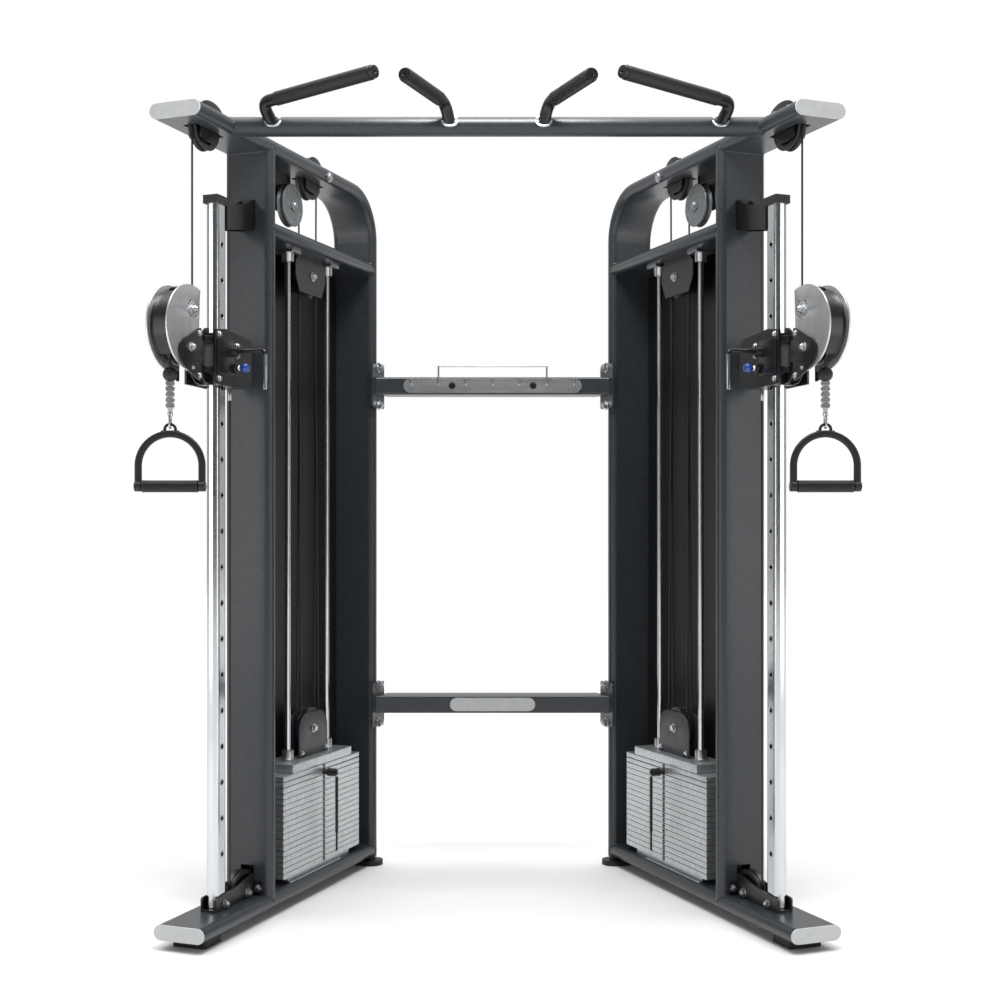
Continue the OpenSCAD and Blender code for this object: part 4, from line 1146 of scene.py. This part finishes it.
def shared_details():
    """Pull-up bar with bent grips, their sleeves and end plugs, and collars at their feet."""
    front = tower_point("left", 0, 0, 0).y / MM
    bar = lathe([(0, -752), (25.5, -752), (27, -750.5), (27, 750.5), (25.5, 752), (0, 752)], 64,
                move(0, front + 150, 2280) @ turn(90, "Y"))
    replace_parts(piece("pull_up_tube", bar, None, "frame_coat"), "pull_up_bar")
    stems, sleeves, plugs, collars = [], [], [], []
    for foot, knee, tip in pull_up_grips(front):
        stems.append(tube(fillet([foot, knee, tip], 42, 14), 17, 28))
        ahead = tip - knee
        sleeves.append(lathe(sleeve_profile(0.84 * ahead.length), 44,
                             pointing(knee + 0.14 * ahead, ahead)))
        plugs.append(lathe([(4, -6), (17.4, -6), (17.4, 0), (16.6, 2.2), (13, 3), (5, 3), (4, 2)],
                           40, pointing(tip, ahead)))
        collars.append(lathe([(19, -2), (24, -2), (25.5, 0), (24, 3), (19, 3)], 48,
                             pointing(Vector((foot.x, front + 128, 2290)), Vector((0, -0.8, 0.6)))))
    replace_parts(piece("pull_up_stems", merged(stems), None, "black_coat"), "pull_up_bar")
    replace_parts(piece("pull_up_sleeves", merged(sleeves), None, "grip_rubber"), "grip_sleeves")
    piece("pull_up_plugs", merged(plugs), None, "black_coat")
    piece("pull_up_collars", merged(collars), None, "bright_steel")


def sleeve_profile(length):
    """Foam sleeve with shallow rings and rolled ends."""
    profile = [(17.1, 0), (18.4, 0.2), (19.4, 1.4)]
    rings = int(length / 5)
    for i in range(rings):
        z = 3 + (length - 6) * (i + 0.5) / rings
        profile += [(19.4, z - 1.9), (19.05, z - 1.3), (19.05, z + 1.3), (19.4, z + 1.9)]
    return profile + [(19.4, length - 1.4), (18.4, length - 0.2), (17.1, length)]


def soften_edges():
    """Small bevels on plates and castings that keep their CAD mesh."""
    widths = {"end_caps": 0.0016, "feet": 0.002, "rail_brackets": 0.0008, "pulley_brackets": 0.0006,
              "rod_clamps": 0.0012, "weight_plates": 0.0022, "cross_beams": 0.0009,
              "accessory_rack": 0.0009, "name_plate": 0.0012, "mid_braces": 0.0008}
    for side in SIDES:
        widths[side + "_trolley"] = 0.0014
    for name, width in widths.items():
        node = NODES[name]
        weld_points = node.modifiers.new("weld", "WELD")
        weld_points.merge_threshold = 0.00001
        bevel = node.modifiers.new("edges", "BEVEL")
        bevel.width = width
        bevel.segments = 2
        bevel.limit_method = "ANGLE"
        bevel.angle_limit = math.radians(40)


# ------------------------------------------------------------------ stage

CAMERA_X = -0.0656
CAMERA_BACK = 3.808
CAMERA_Z = 1.145
LENS = 50.6
SHIFT = (0.0267, 0.030)
SKY_FRONT, SKY_BACK = 0.1, 0.75


def camera():
    """Level camera in front of the towers' front ends, a little left of the middle."""
    data = bpy.data.cameras.new("camera")
    made = bpy.data.objects.new("camera", data)
    bpy.context.scene.collection.objects.link(made)
    front = tower_point("left", 0, 0, 0).y
    made.location = (CAMERA_X, front - CAMERA_BACK, CAMERA_Z)
    made.rotation_euler = (math.radians(90), 0, 0)
    data.lens = LENS
    data.sensor_width = 36
    data.shift_x, data.shift_y = SHIFT
    bpy.context.scene.camera = made


def area_light(name, place, target, size, power, colour=(1, 1, 1)):
    data = bpy.data.lights.new(name, "AREA")
    data.shape = "RECTANGLE"
    data.size, data.size_y = size
    data.energy = power
    data.color = colour
    made = bpy.data.objects.new(name, data)
    bpy.context.scene.collection.objects.link(made)
    made.location = place
    aim = Vector(target) - Vector(place)
    made.rotation_euler = aim.to_track_quat("-Z", "Y").to_euler()


def studio_world():
    """White behind everything the camera sees; dimmer light from the front than from behind."""
    world = bpy.data.worlds.new("studio")
    bpy.context.scene.world = world
    world.use_nodes = True
    tree = world.node_tree
    back = tree.nodes["Background"]
    back.inputs["Color"].default_value = (1, 1, 1, 1)
    rays = tree.nodes.new("ShaderNodeLightPath")
    coords = tree.nodes.new("ShaderNodeTexCoord")
    parts = tree.nodes.new("ShaderNodeSeparateXYZ")
    link(tree, coords.outputs["Generated"], parts.inputs["Vector"])
    glow = spread(tree, parts.outputs["Y"], SKY_FRONT, SKY_BACK, -1.0, 1.0)
    strength = spread(tree, rays.outputs["Is Camera Ray"], 0.0, 1.0, 0.0, 1.0)
    link(tree, glow, strength.node.inputs["To Min"])
    link(tree, strength, back.inputs["Strength"])


def stage():
    bpy.ops.mesh.primitive_plane_add(size=40, location=(0, 0, 0))
    floor = bpy.context.object
    floor.name = "floor"
    floor.data.materials.append(finish_of("floor", srgb(240, 240, 240), srgb(244, 244, 244),
                                          (0.6, 0.7), mottle=2, grain=40, bump=0.0))
    studio_world()
    bpy.context.scene.view_settings.view_transform = "Standard"
    sky = bpy.data.lights.new("overhead", "SUN")
    sky.energy = 2.75
    sky.angle = math.radians(70)
    bpy.context.scene.collection.objects.link(bpy.data.objects.new("overhead", sky))
    area_light("left_key", (-3.4, -2.4, 1.6), (0, 0, 0.7), (0.8, 2.4), 16)
    area_light("right_key", (3.4, -2.4, 1.6), (0, 0, 0.7), (0.8, 2.4), 16)
    area_light("between", (0, -0.9, 3.3), (0, 0.2, 0.6), (0.7, 0.7), 34)


camera()
stage()
dress_cad_nodes()
soften_edges()
cables()
pulleys()
swivels()
trolley_pieces()
lock_handles()
hanging_handles()
d_handles()
rail_details()
stack_details()
welds()
beam_covers()
bracket_bolts()
shared_details()
